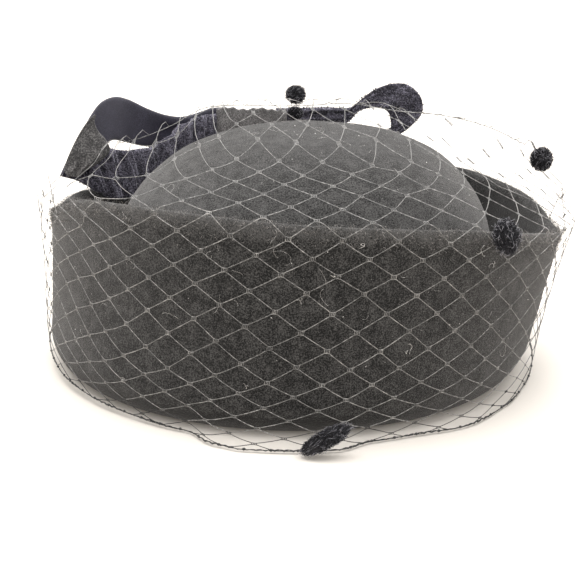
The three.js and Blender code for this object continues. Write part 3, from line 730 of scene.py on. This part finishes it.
# Veil
NET_REACH = 103.0  # azimuth of its side edges
NET_OFF_FELT = 3.2
NET_OFF_DOME = 4.0  # beside the dome
NET_LEFT_PUFF = 15.0  # how far the loose net stands off at its left edge
NET_RIGHT_PUFF = 9.0
NET_PUFF_ONSET = 5  # power that keeps the puff to the edges
NET_PUFF_MIDWAY = 0.1  # share of the puff half way up the wall
NET_PUFF_RIM = 0.7  # and at the rim
NET_OVER_RIM = 2.4
NET_FOLD_HEIGHT = 22.0  # where it leaves the cuff's fold
NET_FOLD_OFF = 2.6
NET_FOLLOWS_HEM = 0.35  # share of the hem's spread that the net has there
NET_TOP_PUFF = 5.4  # rise of the net in front of the strap
TOP_PUFF_GROWS = (0.55, 0.82)  # shares of the way from the rim to the bow
TOP_PUFF_FADES = (0.88, 1)

# Hem round the hat: azimuth in degrees, radius, height
HEM = (
    (-103, 116.8, 14), (-90, 115, 9), (-74, 113.5, 6), (-58, 113.2, 4), (-40, 113, 2.5), (-21, 114, 1.2),
    (-13, 123.5, 1.2), (-8, 126, 1.2), (0, 125.7, 1.2), (10, 125.2, 1.2), (18, 119, 1.2), (26, 118.5, 1.2),
    (40, 122, 1.2), (54, 119.5, 1.2), (68, 118, 2), (90, 117.6, 7), (103, 118.5, 14),
)
# Back edge, which the bow holds, from left to right
VEIL_BACK = (
    (-107, 29, 84), (-95, 43, 90), (-77, 58, 93), (-62, 76, 97), (-46, 92, 104), (-30, 98, 104.9),
    (-10, 98.5, 104.9), (8, 97.5, 105.6), (30, 92, 108), (54, 78, 107), (78, 66, 107), (100, 50, 104),
    (116, 36, 98),
)
WALL_STEPS = 60
DRAPE_STEPS = 24
DRAPE_ROUNDS = 60
OVER_STEPS = 160
UP_STEPS = 240
SIDES = np.linspace(-1, 1, 161)  # lines of the veil from its left edge to its right one

# Lattice of the net, in cells
COLUMNS = 19.4  # from one side of the veil to the other
EDGE = COLUMNS / 2
HALF_COLUMNS = range(-22, 23)  # half cells that the lattice may have across and up
HALF_ROWS = range(-6, 60)
LATTICE_UP = 0.5  # rows by which the whole lattice lies higher
ROW_TILT = 1.35  # how much lower the rows lie at the right edge than in the middle
KNOT_WIDE = 0.05  # half a knot's width and height
KNOT_HIGH = 0.062
KNOT_BOW = 0.8  # height of a knot's middle over its sides' height
WRAPS = 4  # short threads that tie each knot
WRAPS_WIDE = 0.9  # share of the knot's width that they take
RIM_ROW = 8.2  # row past which the net is loose
CUT_COLUMN = -7.2  # column left of which the loose net is cut away beside the bow
CUT_ABOVE_RIM = 0.9  # rows past the rim from which it is cut
SHORTEST_END = 0.15  # ends shorter than this share of a strand are left off

# Sizes of its cells and threads, in millimetres
STRAND = 13.6  # length of a strand between two junctions
NARROWEST_CELL = 6
WIDEST_CELL = 25
LOWEST_CELL = 10
HEM_SQUEEZE = 0.42  # share of a row's height left at the hem
HEM_SQUEEZED = 44.0  # height that the squeeze reaches
THREAD = 0.17  # radius
EDGE_THREAD = 1.1 * THREAD
BACK_THREAD = 1.3 * THREAD
HEM_THREAD = 1.25 * THREAD
WRAP_THREAD = 0.85 * THREAD
HEM_KNOT = 3 * THREAD
HEM_KNOT_UP = 0.25
HEM_KNOT_SHAPE = (0.5, 1, 1.2, 1, 0.5)
HEM_KNOT_EVERY = 29  # points of the hem from one knot to the next
HEM_STEPS = 1200
HEM_TWISTS = 60
HEM_TWIST_WIDE = 0.55
HEM_TWIST_WAVES = 90  # how the width of the twist varies along the hem, in radians
HEM_DARK = 9.0  # height under which the net shows dark against the table
STRAND_STEPS = 6
STRAND_SAG = 0.07

# Row of the net that lies on the rim, by column
RIM_ROWS = (
    (-9.7, 9.2), (-7.8, 8.6), (-5.8, 9.0), (-3.9, 9.25), (-1.9, 8.7), (0, 8.36), (1.9, 8.1), (3.9, 7.85),
    (5.8, 7.6), (7.8, 8.0), (9.7, 9.0),
)
FAN = 1.7  # most of the fanning, in columns
FAN_ROWS = 1.2  # rows past the rim in which it sets in
FAN_GROWS = (3.4, 5.3)  # columns to the left between which it grows
FAN_FADES = (6, EDGE)

# Stretch of the rows over the dome: way past the rim in millimetres, in the middle, on the left
DOME_STRETCH = (
    (-12, 1.0, 1.0), (4, 1.45, 2.1), (22, 1.5, 2.2), (40, 1.15, 2.2), (55, 1.7, 3.0), (80, 2.6, 3.6),
    (130, 3.2, 3.8),
)
LEFT_STRETCH_FROM = (0.15, 0.45)  # shares of the way to the left edge where the left's values take over

# How a draped net strays from its lattice: noise for each column, for each row, seed, cells it strays
STRAY_ACROSS = ((0.45, 0.4, 2.0, 0.08), (2.1, 2.3, 5.0, 0.04))
STRAY_UP = ((0.4, 0.45, 9.0, 0.07), (2.2, 1.9, 7.0, 0.06))
LOOSE_STRAYS = 1.6  # how much more it strays past the rim
LOOSE_ROWS = 1.5


def dome_top(x, y):
    """Height of a net that lies on the dome, found in a few rounds because the dome leans."""
    z = np.full(np.shape(x), CROWN_HEIGHT)
    for _ in range(4):
        reach = np.hypot(x - LEAN * z, y / LENGTH_RATIO) / (CROWN_HALF_WIDTH + NET_OFF_DOME)
        side = np.maximum(1 - np.minimum(reach, 1) ** CROWN_ROUND_SIDE, 0)
        z = (CROWN_HEIGHT + NET_OFF_FELT) * side ** (1 / CROWN_ROUND_TOP)
    return z


def hem_at(azimuth):
    """Radius and height of the veil's hem."""
    angles, radii, heights = np.array(HEM, float).T
    after = int(np.clip(np.searchsorted(angles, azimuth), 1, len(HEM) - 1))
    t = float(smooth((azimuth - angles[after - 1]) / (angles[after] - angles[after - 1])))
    return radii[after - 1] * (1 - t) + radii[after] * t, heights[after - 1] * (1 - t) + heights[after] * t


def veil_line(side):
    """One line of the veil from its hem up the wall and over to the bow, and the length at each point."""
    azimuth = side * NET_REACH
    top = float(rim_height(azimuth))
    hem_radius, hem_height = hem_at(azimuth)
    puff = (NET_LEFT_PUFF if side < 0 else NET_RIGHT_PUFF) * abs(side) ** NET_PUFF_ONSET
    fold = CUFF_BASE + NET_FOLD_OFF + max(0.0, NET_FOLLOWS_HEM * (hem_radius - CUFF_BASE))
    midway = wall_radius(0.5) + NET_OFF_FELT + NET_PUFF_MIDWAY * puff
    rim_puff = NET_PUFF_RIM * puff
    wall = curve_through([
        felt_point(azimuth, hem_radius, hem_height),
        felt_point(azimuth, fold, NET_FOLD_HEIGHT),
        felt_point(azimuth, midway, (CUFF_FOLD_HEIGHT + top) / 2),
        felt_point(azimuth, CUFF_RIM + NET_OFF_FELT + rim_puff, top + NET_OVER_RIM + rim_puff),
    ], np.linspace(0, 1, WALL_STEPS))
    rim = wall[-1]
    end = curve_through(VEIL_BACK, [(side + 1) / 2])[0]
    t = np.linspace(0, 1, DRAPE_STEPS + 1)
    over = rim + (end - rim) * t[:, None]
    over[:, 2] = np.maximum(over[:, 2], dome_top(over[:, 0], over[:, 1]))
    for _ in range(DRAPE_ROUNDS):
        for k in range(1, DRAPE_STEPS):
            over[k, 2] = max(over[k, 2], (over[k - 1, 2] + over[k + 1, 2]) / 2)
    over[:, 2] += NET_TOP_PUFF * rise_between(t, *TOP_PUFF_GROWS) * (1 - rise_between(t, *TOP_PUFF_FADES))
    over = curve_through(over, np.linspace(0, 1, OVER_STEPS))
    line = np.vstack([wall, over[1:]])
    length = np.concatenate([[0], np.cumsum(np.linalg.norm(np.diff(line, axis=0), axis=1))])
    return line, length


def evened(values, reach):
    """The values with sudden changes from one line of the veil to the next spread over its neighbours."""
    window = np.hanning(2 * reach + 1)
    wide = np.pad(values, [(reach, reach)] + [(0, 0)] * (values.ndim - 1), mode="edge")
    near = [np.tensordot(window, wide[k:k + len(window)], 1) for k in range(len(values))]
    return np.array(near) / window.sum()


def row_density(points, past_rim):
    """Rows of the net for each millimetre up the veil, from the width of its cells and how it is drawn."""
    way, middle, left = np.array(DOME_STRETCH, float).T
    leftness = rise_between(-SIDES, *LEFT_STRETCH_FROM)[:, None]
    stretch = np.interp(past_rim, way, middle) * (1 - leftness) + np.interp(past_rim, way, left) * leftness
    across = np.linalg.norm(np.gradient(points, axis=0), axis=-1) / (SIDES[1] - SIDES[0]) / EDGE
    half = np.clip(evened(across, 15), NARROWEST_CELL, WIDEST_CELL) / 2
    row_height = 2 * np.sqrt(np.maximum(STRAND ** 2 - half ** 2, (LOWEST_CELL / 2) ** 2))
    squeeze = HEM_SQUEEZE + (1 - HEM_SQUEEZE) * rise_between(points[..., 2], 0, HEM_SQUEEZED)
    return 1 / (row_height * np.where(past_rim < 0, squeeze, 1) * stretch)


def veil_surface():
    """The veil's points on a grid of lines and shares of the way up, and the row of the net at each point."""
    points = []
    lengths = []
    past_rim = []
    for side in SIDES:
        line, length = veil_line(side)
        share = np.linspace(0, 1, UP_STEPS) * length[-1]
        points.append(np.stack([np.interp(share, length, line[:, k]) for k in range(3)], axis=-1))
        lengths.append(share)
        past_rim.append(share - length[WALL_STEPS - 1])
    points, past_rim = np.array(points), np.array(past_rim)
    density = row_density(points, past_rim)
    climbed = np.cumsum((density[:, 1:] + density[:, :-1]) / 2 * np.diff(lengths, axis=1), axis=1)
    rows = np.hstack([np.zeros((len(SIDES), 1)), climbed])
    on_rim = np.array([np.interp(0, past, row) for past, row in zip(past_rim, rows)])
    wanted = evened(np.interp(SIDES * EDGE, *np.array(RIM_ROWS, float).T), 9)
    return points, rows + (wanted - on_rim)[:, None]


VEIL_POINTS, VEIL_ROWS = veil_surface()


def line_beside(column):
    """The number of the veil's line left of a column, and the share of the way to the next line."""
    at = (np.clip(column / EDGE, -1, 1) + 1) / 2 * (len(SIDES) - 1)
    first = min(int(at), len(SIDES) - 2)
    return first, at - first


def tilt(column):
    return ROW_TILT * column / EDGE


def veil_at(column, row):
    """A point of the net from its lattice place: columns from the middle, rows up from the table."""
    first, t = line_beside(column)
    level = row - tilt(column)
    ends = [np.array([np.interp(level, VEIL_ROWS[k], VEIL_POINTS[k, :, c]) for c in range(3)])
            for k in (first, first + 1)]
    return ends[0] * (1 - t) + ends[1] * t


def veil_span(column):
    """The lowest and the highest row of the net at a column."""
    first, t = line_beside(column)
    low, high = (VEIL_ROWS[first, k] * (1 - t) + VEIL_ROWS[first + 1, k] * t for k in (0, -1))
    return low + tilt(column), high + tilt(column)


def strayed(column, row):
    """A junction's place once the hand-draped net has strayed from its even lattice."""
    across, up = (sum(cells * noise.noise(Vector((column * wide, row * high, seed)))
                      for wide, high, seed, cells in table) for table in (STRAY_ACROSS, STRAY_UP))
    loose = 1 + LOOSE_STRAYS * float(rise_between(row - tilt(column), RIM_ROW, RIM_ROW + LOOSE_ROWS))
    return column + loose * across, row + loose * up


def fanned(column, row):
    """Past the rim the left columns fan outwards, as they are pulled towards the strap."""
    past = float(rise_between(row - tilt(column), RIM_ROW, RIM_ROW + FAN_ROWS))
    outer = float(rise_between(-column, *FAN_GROWS) * (1 - rise_between(-column, *FAN_FADES)))
    return column - FAN * past * outer


def net_point(column, row):
    column = min(max(fanned(column, row), -EDGE), EDGE)
    low, high = veil_span(column)
    return veil_at(column, min(max(row, low), high))


def is_cut(column, row):
    """Whether a place lies in the corner of the net that is cut away beside the bow."""
    return row - tilt(column) > RIM_ROW + CUT_ABOVE_RIM and fanned(column, row) < CUT_COLUMN


def junctions():
    """The lattice place of each knot, by its half columns and half rows."""
    places = {}
    for i in HALF_COLUMNS:
        for j in HALF_ROWS:
            column = i / 2
            row = j / 2 + LATTICE_UP
            if (i + j) % 2 == 0 and abs(column) <= EDGE:
                low, high = veil_span(column)
                if low <= row <= high and not is_cut(column, row):
                    places[i, j] = strayed(column, row)
    return places


def add_thread(threads, line, radius=THREAD):
    """Adds a thread of the net, dark where it lies low."""
    low = line[0][2] < HEM_DARK and line[-1][2] < HEM_DARK
    threads.add(line, radius, shade=1 if low else 0)


def add_strand(threads, start, end):
    """A strand between two lattice places, sagging a little."""
    shares = np.linspace(0, 1, STRAND_STEPS + 1)[:, None]
    places = np.array(start) + (np.array(end) - np.array(start)) * shares
    line = np.array([net_point(c, r) for c, r in places])
    line[:, 2] -= STRAND_SAG * np.sin(math.pi * shares[:, 0])
    add_thread(threads, line)


def add_knot(threads, column, row):
    """A bowed bar above and below, tied by short wraps side by side."""
    for high in (KNOT_HIGH, -KNOT_HIGH):
        bar = (-KNOT_WIDE, high), (0, KNOT_BOW * high), (KNOT_WIDE, high)
        add_thread(threads, [net_point(column + x, row + y) for x, y in bar])
    for x in column + np.linspace(-KNOT_WIDE, KNOT_WIDE, WRAPS) * WRAPS_WIDE:
        add_thread(threads, [net_point(x, row - KNOT_HIGH), net_point(x, row + KNOT_HIGH)], WRAP_THREAD)


def add_hem(threads, line):
    """Two threads twisted round each other along the net's cut edge, with small knots."""
    shares = np.linspace(0, 1, HEM_STEPS + 1)
    fine = curve_through(line, shares)
    for part in (0, 1):
        turn = shares * HEM_TWISTS * 2 * math.pi + part * math.pi
        wide = HEM_TWIST_WIDE * (0.6 + 0.4 * np.sin(shares * HEM_TWIST_WAVES + part))
        strand = fine.copy()
        strand[:, 2] += wide * np.abs(np.sin(turn))
        strand[:, 1] += wide * np.cos(turn)
        threads.add(strand, HEM_THREAD, shade=1)
    for k in range(6, len(fine) - 6, HEM_KNOT_EVERY):
        knot = fine[k - 2:k + 3].copy()
        knot[:, 2] += HEM_KNOT_UP
        threads.add(knot, HEM_KNOT, taper=HEM_KNOT_SHAPE, sides=6, shade=1)


def make_veil():
    """Diamond net: at each junction two strands come together above and two below, tied by a knot."""
    threads = Threads()
    places = junctions()
    for (i, j), (column, row) in places.items():
        for step in (1, -1):
            for way in (1, -1):
                there = places.get((i + way, j + step))
                start = (column + way * KNOT_WIDE, row + step * KNOT_HIGH)
                share = min(1.0, 2 * (EDGE - way * column))
                loose_end = (column + way * share / 2, row + step * share / 2)
                if there and way > 0:
                    add_strand(threads, start, (there[0] - KNOT_WIDE, there[1] - step * KNOT_HIGH))
                if not there and share > SHORTEST_END and not is_cut(*loose_end):
                    add_strand(threads, start, loose_end)
        add_knot(threads, column, row)
    columns = np.linspace(-EDGE, EDGE, 241)
    backs = [(column, veil_span(column)[1]) for column in columns]
    add_hem(threads, np.array([veil_at(column, veil_span(column)[0]) for column in columns]))
    threads.add([veil_at(*place) for place in backs if not is_cut(*place)], BACK_THREAD)
    for side in (-EDGE, EDGE):
        rows = np.linspace(*veil_span(side), 91)
        threads.add([veil_at(side, row) for row in rows if not is_cut(side, row)], EDGE_THREAD)
    threads.piece("net_veil", (NYLON, NYLON_HEM), "veil_net", ["veil"])


make_veil()

# Chenille dots
# name: centre, half sizes and turn about the line of sight in degrees
DOTS = (
    ("front", (16.4, -132.4, 8.2), (12.6, 4.6, 4.3), 31),
    ("rim", (88, -103.6, 85.4), (6.2, 6.2, 8.4), 8),
    ("side", (122.5, 22, 93.5), (6.2, 6, 6.6), 0),
    ("top", (2.4, 84, 113.4), (5.9, 5, 5.6), 0),
    ("back", (2.4, 90, 102.6), (4.6, 4.6, 3.9), 0),
)
DOT_TUFTS = 1500
GOLDEN_TURN = 2.399963  # spreads points evenly over a ball
PALE_TUFTS = 0.1  # share of the tufts painted pale, as highlight on tips that catch the light
PALE_LONGER = 0.16
TUFT_LENGTHS = (0.8, 0.96)  # as shares of the dot's half sizes, like the next three
TUFT_ROOT = 0.55
PALE_ROOT = 0.8
TUFT_BUNCHING = 0.14
BUNCHES = 3.1  # how many bunches the tufts make over a dot's half size
TUFT_STRAY = 0.4
TUFT_THICK = 0.24
PALE_THICK = 0.09
TUFT_SHAPE = (1.0, 0.9, 0.35)


def any_way(rng, reach=1.0):
    """A random step of up to reach along each axis."""
    return np.array([rng.uniform(-reach, reach) for _ in range(3)])


def make_dot(name, centre, half, turn, rng):
    """Cut pile that stands out all round in small tufts, some of them longer and painted pale as highlight.
    """
    threads = Threads()
    half = np.array(half, float)
    a = math.radians(turn)
    turned = np.array([[math.cos(a), 0, -math.sin(a)], [0, 1, 0], [math.sin(a), 0, math.cos(a)]])
    for k in range(DOT_TUFTS):
        z = 1 - 2 * (k + 0.5) / DOT_TUFTS
        ring = math.sqrt(max(0.0, 1 - z * z))
        around = k * GOLDEN_TURN + rng.uniform(-0.1, 0.1)
        way = np.array([ring * math.cos(around), ring * math.sin(around), z])
        stray = any_way(rng) * TUFT_STRAY
        pale = rng.random() < PALE_TUFTS
        bunch = noise.noise(Vector(way * BUNCHES + half))
        long = rng.uniform(*TUFT_LENGTHS) + TUFT_BUNCHING * bunch + (PALE_LONGER if pale else 0)
        root = PALE_ROOT if pale else TUFT_ROOT
        middle = unit(way + 0.4 * stray) * (root + long) / 2
        line = np.array([way * root, middle, unit(way + stray) * long]) * half @ turned.T + np.array(centre)
        thick = PALE_THICK if pale else TUFT_THICK
        threads.add(line, thick, sides=3, taper=TUFT_SHAPE, shade=1 if pale else 0)
    threads.piece("chenille_dot_" + name, (CHENILLE, CHENILLE_LIT_TIPS), "chenille", ["veil_dot_" + name])


dot_rng = random.Random(11)
for dot in DOTS:
    make_dot(*dot, dot_rng)

# Nap, hairs and lint
NAP_FIBRES = 13500
RIM_SHARE = 0.75  # share of the fibres that stand on the cuff's rim and just below it
CREST_SHARE = 0.55  # share of those that stand on its rounding
CREST_TURNS = (0.02, 0.9)  # part of the rounding that they stand on, in half turns
RIM_NAP = (0.7, 2.5)  # lengths
FELT_NAP = (0.5, 1.6)
NAP_LEAN = (0.6, 1.6)  # how far a fibre leans at its middle and at its tip
NAP_THICK = 0.05
DARK_NAP = 0.5  # share of fibres as dark as the felt itself
PILE_TUFTS = 3600
PILE_STRAY = 0.3
PILE_LENGTHS = (0.5, 1.5)
PILE_LEAN = (0.4, 1.1)
PILE_THICK = 0.14
# share of the velvet's tufts painted pale, as highlight
PALE_PILE = 0.12
FIBRE_ROOT = 0.3
FIBRE_SHAPE = (1.0, 0.9, 0.4)

HAIRS = 115
HAIR_LENGTHS = (2, 3, 4, 5, 8, 12)
HAIR_THICK = (0.03, 0.06)
HAIR_BEND = 0.17
HAIR_STEPS = 14
HAIR_OFF = 0.2  # how far a hair keeps off the felt, and how much farther it hops
HAIR_HOP = 0.5
SPECKS = 90
SPECK_SIZES = (0.12, 0.4)
LINT_HAIRS = 3  # hairs in each larger speck
LINT_THICK = (0.07, 0.13)
LINT_BEND = 0.5

# Larger specks of lint on the wall: azimuth, height, length
WALL_LINT = (
    (23.5, 39.5, 3.0), (22.5, 37, 1.8), (-38, 18, 1.8), (35, 78.5, 3.5), (39, 72, 3.0), (9.5, 85, 2.6),
    (5, 72.5, 2.4), (-1, 62, 1.6), (-9.5, 24, 1.6),
)

CUFF_SHARE = 0.55  # share of loose fibres that lie on the cuff, and how high up its wall they reach
WALL_REACH = 0.95
CROWN_LOWEST = 56.0  # lower down the crown they would be out of sight


def outwards_at(azimuth):
    return unit(felt_point(azimuth, 1.0, 0.0))


def on_wall(azimuth, height):
    share = (height - CUFF_FOLD_HEIGHT) / (float(rim_height(azimuth)) - CUFF_FOLD_HEIGHT)
    radius = float(wall_radius(max(share, 0))) + float(unevenness(azimuth, height))
    return felt_point(azimuth, radius, height), outwards_at(azimuth)


def on_rim(azimuth, turn):
    """A place on the rounded rim, from turn 0 outside over the crest to pi inside."""
    radius, level = rim_ring(turn)
    height = CUFF_FOLD_HEIGHT + (level - CUFF_FOLD_HEIGHT) * (float(rim_height(azimuth)) - CUFF_FOLD_HEIGHT)
    point = felt_point(azimuth, radius + float(unevenness(azimuth, height)), height)
    return point, unit(outwards_at(azimuth) * math.cos(turn) + np.array([0, 0, math.sin(turn)]))


def on_crown(azimuth, height):
    radius = float(crown_radius(height)) * 0.999
    above = min(height + 0.4, CROWN_HEIGHT - 0.1)
    slope = unit(felt_point(azimuth, float(crown_radius(above)), above)
                 - felt_point(azimuth, float(crown_radius(height)), height))
    along = unit(np.cross(np.array([0, 0, 1.0]), felt_point(azimuth, 1.0, 0.0)))
    out = unit(np.cross(slope, along))
    return felt_point(azimuth, crown_reach(azimuth, radius, height), height), out if out[2] > 0 else -out


def on_felt(rng):
    """A random place on the felt's outside: the point and the way out of the felt."""
    azimuth = rng.uniform(-180, 180)
    if rng.random() < CUFF_SHARE:
        wall = float(rim_height(azimuth)) - CUFF_FOLD_HEIGHT
        return on_wall(azimuth, CUFF_FOLD_HEIGHT + rng.random() ** 0.8 * wall * WALL_REACH)
    height = CROWN_HEIGHT * math.sin(rng.random() ** 0.5 * math.pi / 2) ** CROWN_RING_RISE
    return on_crown(azimuth, max(height, CROWN_LOWEST))


def add_fibre(threads, point, out, lean, long, leans, thick, shade):
    """A short fibre that stands off a surface and leans over."""
    middle = point + unit(out + leans[0] * lean) * long / 2
    end = middle + unit(out + leans[1] * lean) * long / 2
    threads.add([point - out * FIBRE_ROOT, middle, end], thick, sides=3, taper=FIBRE_SHAPE, shade=shade)


def make_nap():
    """Short single fibres that stand off the felt and soften its edges, thickest on the cuff's rim."""
    rng = random.Random(5)
    threads = Threads()
    for _ in range(NAP_FIBRES // (1)):
        if rng.random() < RIM_SHARE:
            azimuth = rng.uniform(-180, 180)
            if rng.random() < CREST_SHARE:
                point, out = on_rim(azimuth, rng.uniform(*CREST_TURNS) * math.pi)
            else:
                point, out = on_wall(azimuth, float(rim_height(azimuth)) - RIM_HIGHLIGHT_DEEP * rng.random() ** 1.5)
            long = rng.uniform(*RIM_NAP)
        else:
            point, out = on_felt(rng)
            long = rng.uniform(*FELT_NAP)
        lean = any_way(rng)
        shade = 0 if rng.random() < DARK_NAP else 1
        add_fibre(threads, point, out, lean, long, NAP_LEAN, NAP_THICK, shade)
    threads.piece("felt_nap_fibres", (WOOL_FELT, WOOL_ENDS), "wool_felt")


def make_pile(pieces):
    """Tufts of pile that stand off the velvet of the bow and break up its edges."""
    rng = random.Random(31)
    threads = Threads()
    for piece in pieces:
        flats = piece.data.polygons
        weights = [flat.area for flat in flats]
        for flat in rng.choices(flats, weights, k=PILE_TUFTS // 1):
            point = np.array(flat.center) / MM - SHIFT + any_way(rng, PILE_STRAY)
            lean = any_way(rng)
            long = rng.uniform(*PILE_LENGTHS)
            shade = 1 if rng.random() < PALE_PILE else 0
            add_fibre(threads, point, np.array(flat.normal), lean, long, PILE_LEAN, PILE_THICK, shade)
    threads.piece("velvet_pile_tufts", (CHENILLE, CHENILLE_LIT_TIPS), "velvet")


def wandering_line(point, out, rng, long, bend):
    """A hair's line over the felt that keeps changing its curve."""
    side = unit(np.cross(out, any_way(rng)))
    up = np.cross(out, side)
    heading = rng.uniform(0, 2 * math.pi)
    turn = rng.gauss(0, bend)
    at = np.zeros(2)
    line = []
    for k in range(HAIR_STEPS):
        line.append(point + at[0] * side + at[1] * up + out * (HAIR_OFF + HAIR_HOP * abs(math.sin(0.9 * k))))
        turn += rng.gauss(0, bend * 0.7)
        heading += turn * long / HAIR_STEPS
        at = at + np.array([math.cos(heading), math.sin(heading)]) * long / HAIR_STEPS
    return line


def make_lint():
    """Pale hairs that lie curled on the felt, and small specks of lint."""
    rng = random.Random(23)
    threads = Threads()
    for _ in range(HAIRS):
        point, out = on_felt(rng)
        long = rng.choice(HAIR_LENGTHS) * rng.uniform(0.7, 1.2)
        hair = wandering_line(point, out, rng, long, HAIR_BEND)
        threads.add(hair, rng.uniform(*HAIR_THICK), sides=3)
    for azimuth, height, long in WALL_LINT:
        point, out = on_wall(azimuth, height)
        for _ in range(LINT_HAIRS):
            hair = wandering_line(point, out, rng, long, LINT_BEND)
            threads.add(hair, rng.uniform(*LINT_THICK), sides=3)
    for _ in range(SPECKS):
        point, out = on_felt(rng)
        side = unit(np.cross(out, any_way(rng)))
        size = rng.uniform(*SPECK_SIZES)
        low = point + out * 0.2
        threads.add([low - side * size, point + out * 0.4, low + side * size], size * 0.6, sides=5,
                    taper=(0.4, 1.0, 0.4))
    threads.piece("felt_lint", (LINT,), "wool_felt")


make_nap()
make_pile((RIGHT, GATHERED))
make_lint()

# Table, light and camera, in metres where they don't say otherwise
TABLE_HALF = 2.5
PAPER_GLOW = 0.07  # brightness that an overexposed white paper keeps in its shadows
ROOM_LIGHT = 1.35

# name, place, size, power in watts
LAMPS = (
    ("window_above", (-0.1, 0.15, 1.6), 2.2, 70.0),
    ("fill_front", (0.3, -1.6, 0.9), 1.0, 3.0),
)
LAMPS_AIM = Vector((0, 0, 0.05))
CAMERA_TILT = 14.5  # degrees down
CAMERA_PLACE = (0.0, -657.34, 223.4)  # in millimetres from the felt's axis
CAMERA_ROLL = 0.021  # radians
CAMERA_SHIFT = (0.0034, -0.0776)
CAMERA_LENS = 88.0
CAMERA_FILM = 36.0


def make_table():
    mesh = bpy.data.meshes.new("table_top")
    corners = [(x * TABLE_HALF, y * TABLE_HALF, 0) for x, y in ((-1, -1), (1, -1), (1, 1), (-1, 1))]
    mesh.from_pydata(corners, [], [(0, 1, 2, 3)])
    table = bpy.data.objects.new("table_top", mesh)
    bpy.context.scene.collection.objects.link(table)
    paper = bpy.data.materials.new("white_paper")
    paper.use_nodes = True
    surface = paper.node_tree.nodes["Principled BSDF"]
    surface.inputs["Base Color"].default_value = linear("#cfc9c1")
    surface.inputs["Roughness"].default_value = 0.9
    surface.inputs["Emission Color"].default_value = linear("#fff1e2")
    surface.inputs["Emission Strength"].default_value = PAPER_GLOW
    mesh.materials.append(paper)


def make_lights():
    world = bpy.data.worlds.new("bright_room")
    world.use_nodes = True
    background = world.node_tree.nodes["Background"]
    background.inputs["Color"].default_value = linear("#ffffff")
    background.inputs["Strength"].default_value = ROOM_LIGHT
    bpy.context.scene.world = world
    for name, place, size, power in LAMPS:
        lamp = bpy.data.lights.new(name, "AREA")
        lamp.size = size
        lamp.energy = power
        light = bpy.data.objects.new(name, lamp)
        light.location = place
        light.rotation_euler = (LAMPS_AIM - Vector(place)).to_track_quat("-Z", "Y").to_euler()
        bpy.context.scene.collection.objects.link(light)


def make_camera():
    data = bpy.data.cameras.new("photo_view")
    data.lens = CAMERA_LENS
    data.sensor_width = CAMERA_FILM
    data.sensor_fit = "HORIZONTAL"
    data.shift_x, data.shift_y = CAMERA_SHIFT
    camera = bpy.data.objects.new("photo_view", data)
    place = Matrix.Translation(Vector(np.array(CAMERA_PLACE) + SHIFT) * MM)
    tilted = Matrix.Rotation(math.radians(90 - CAMERA_TILT), 4, "X")
    camera.matrix_world = place @ tilted @ Matrix.Rotation(CAMERA_ROLL, 4, "Z")
    bpy.context.scene.collection.objects.link(camera)
    bpy.context.scene.camera = camera


make_table()
make_lights()
make_camera()
bpy.context.scene.view_settings.view_transform = "Standard"
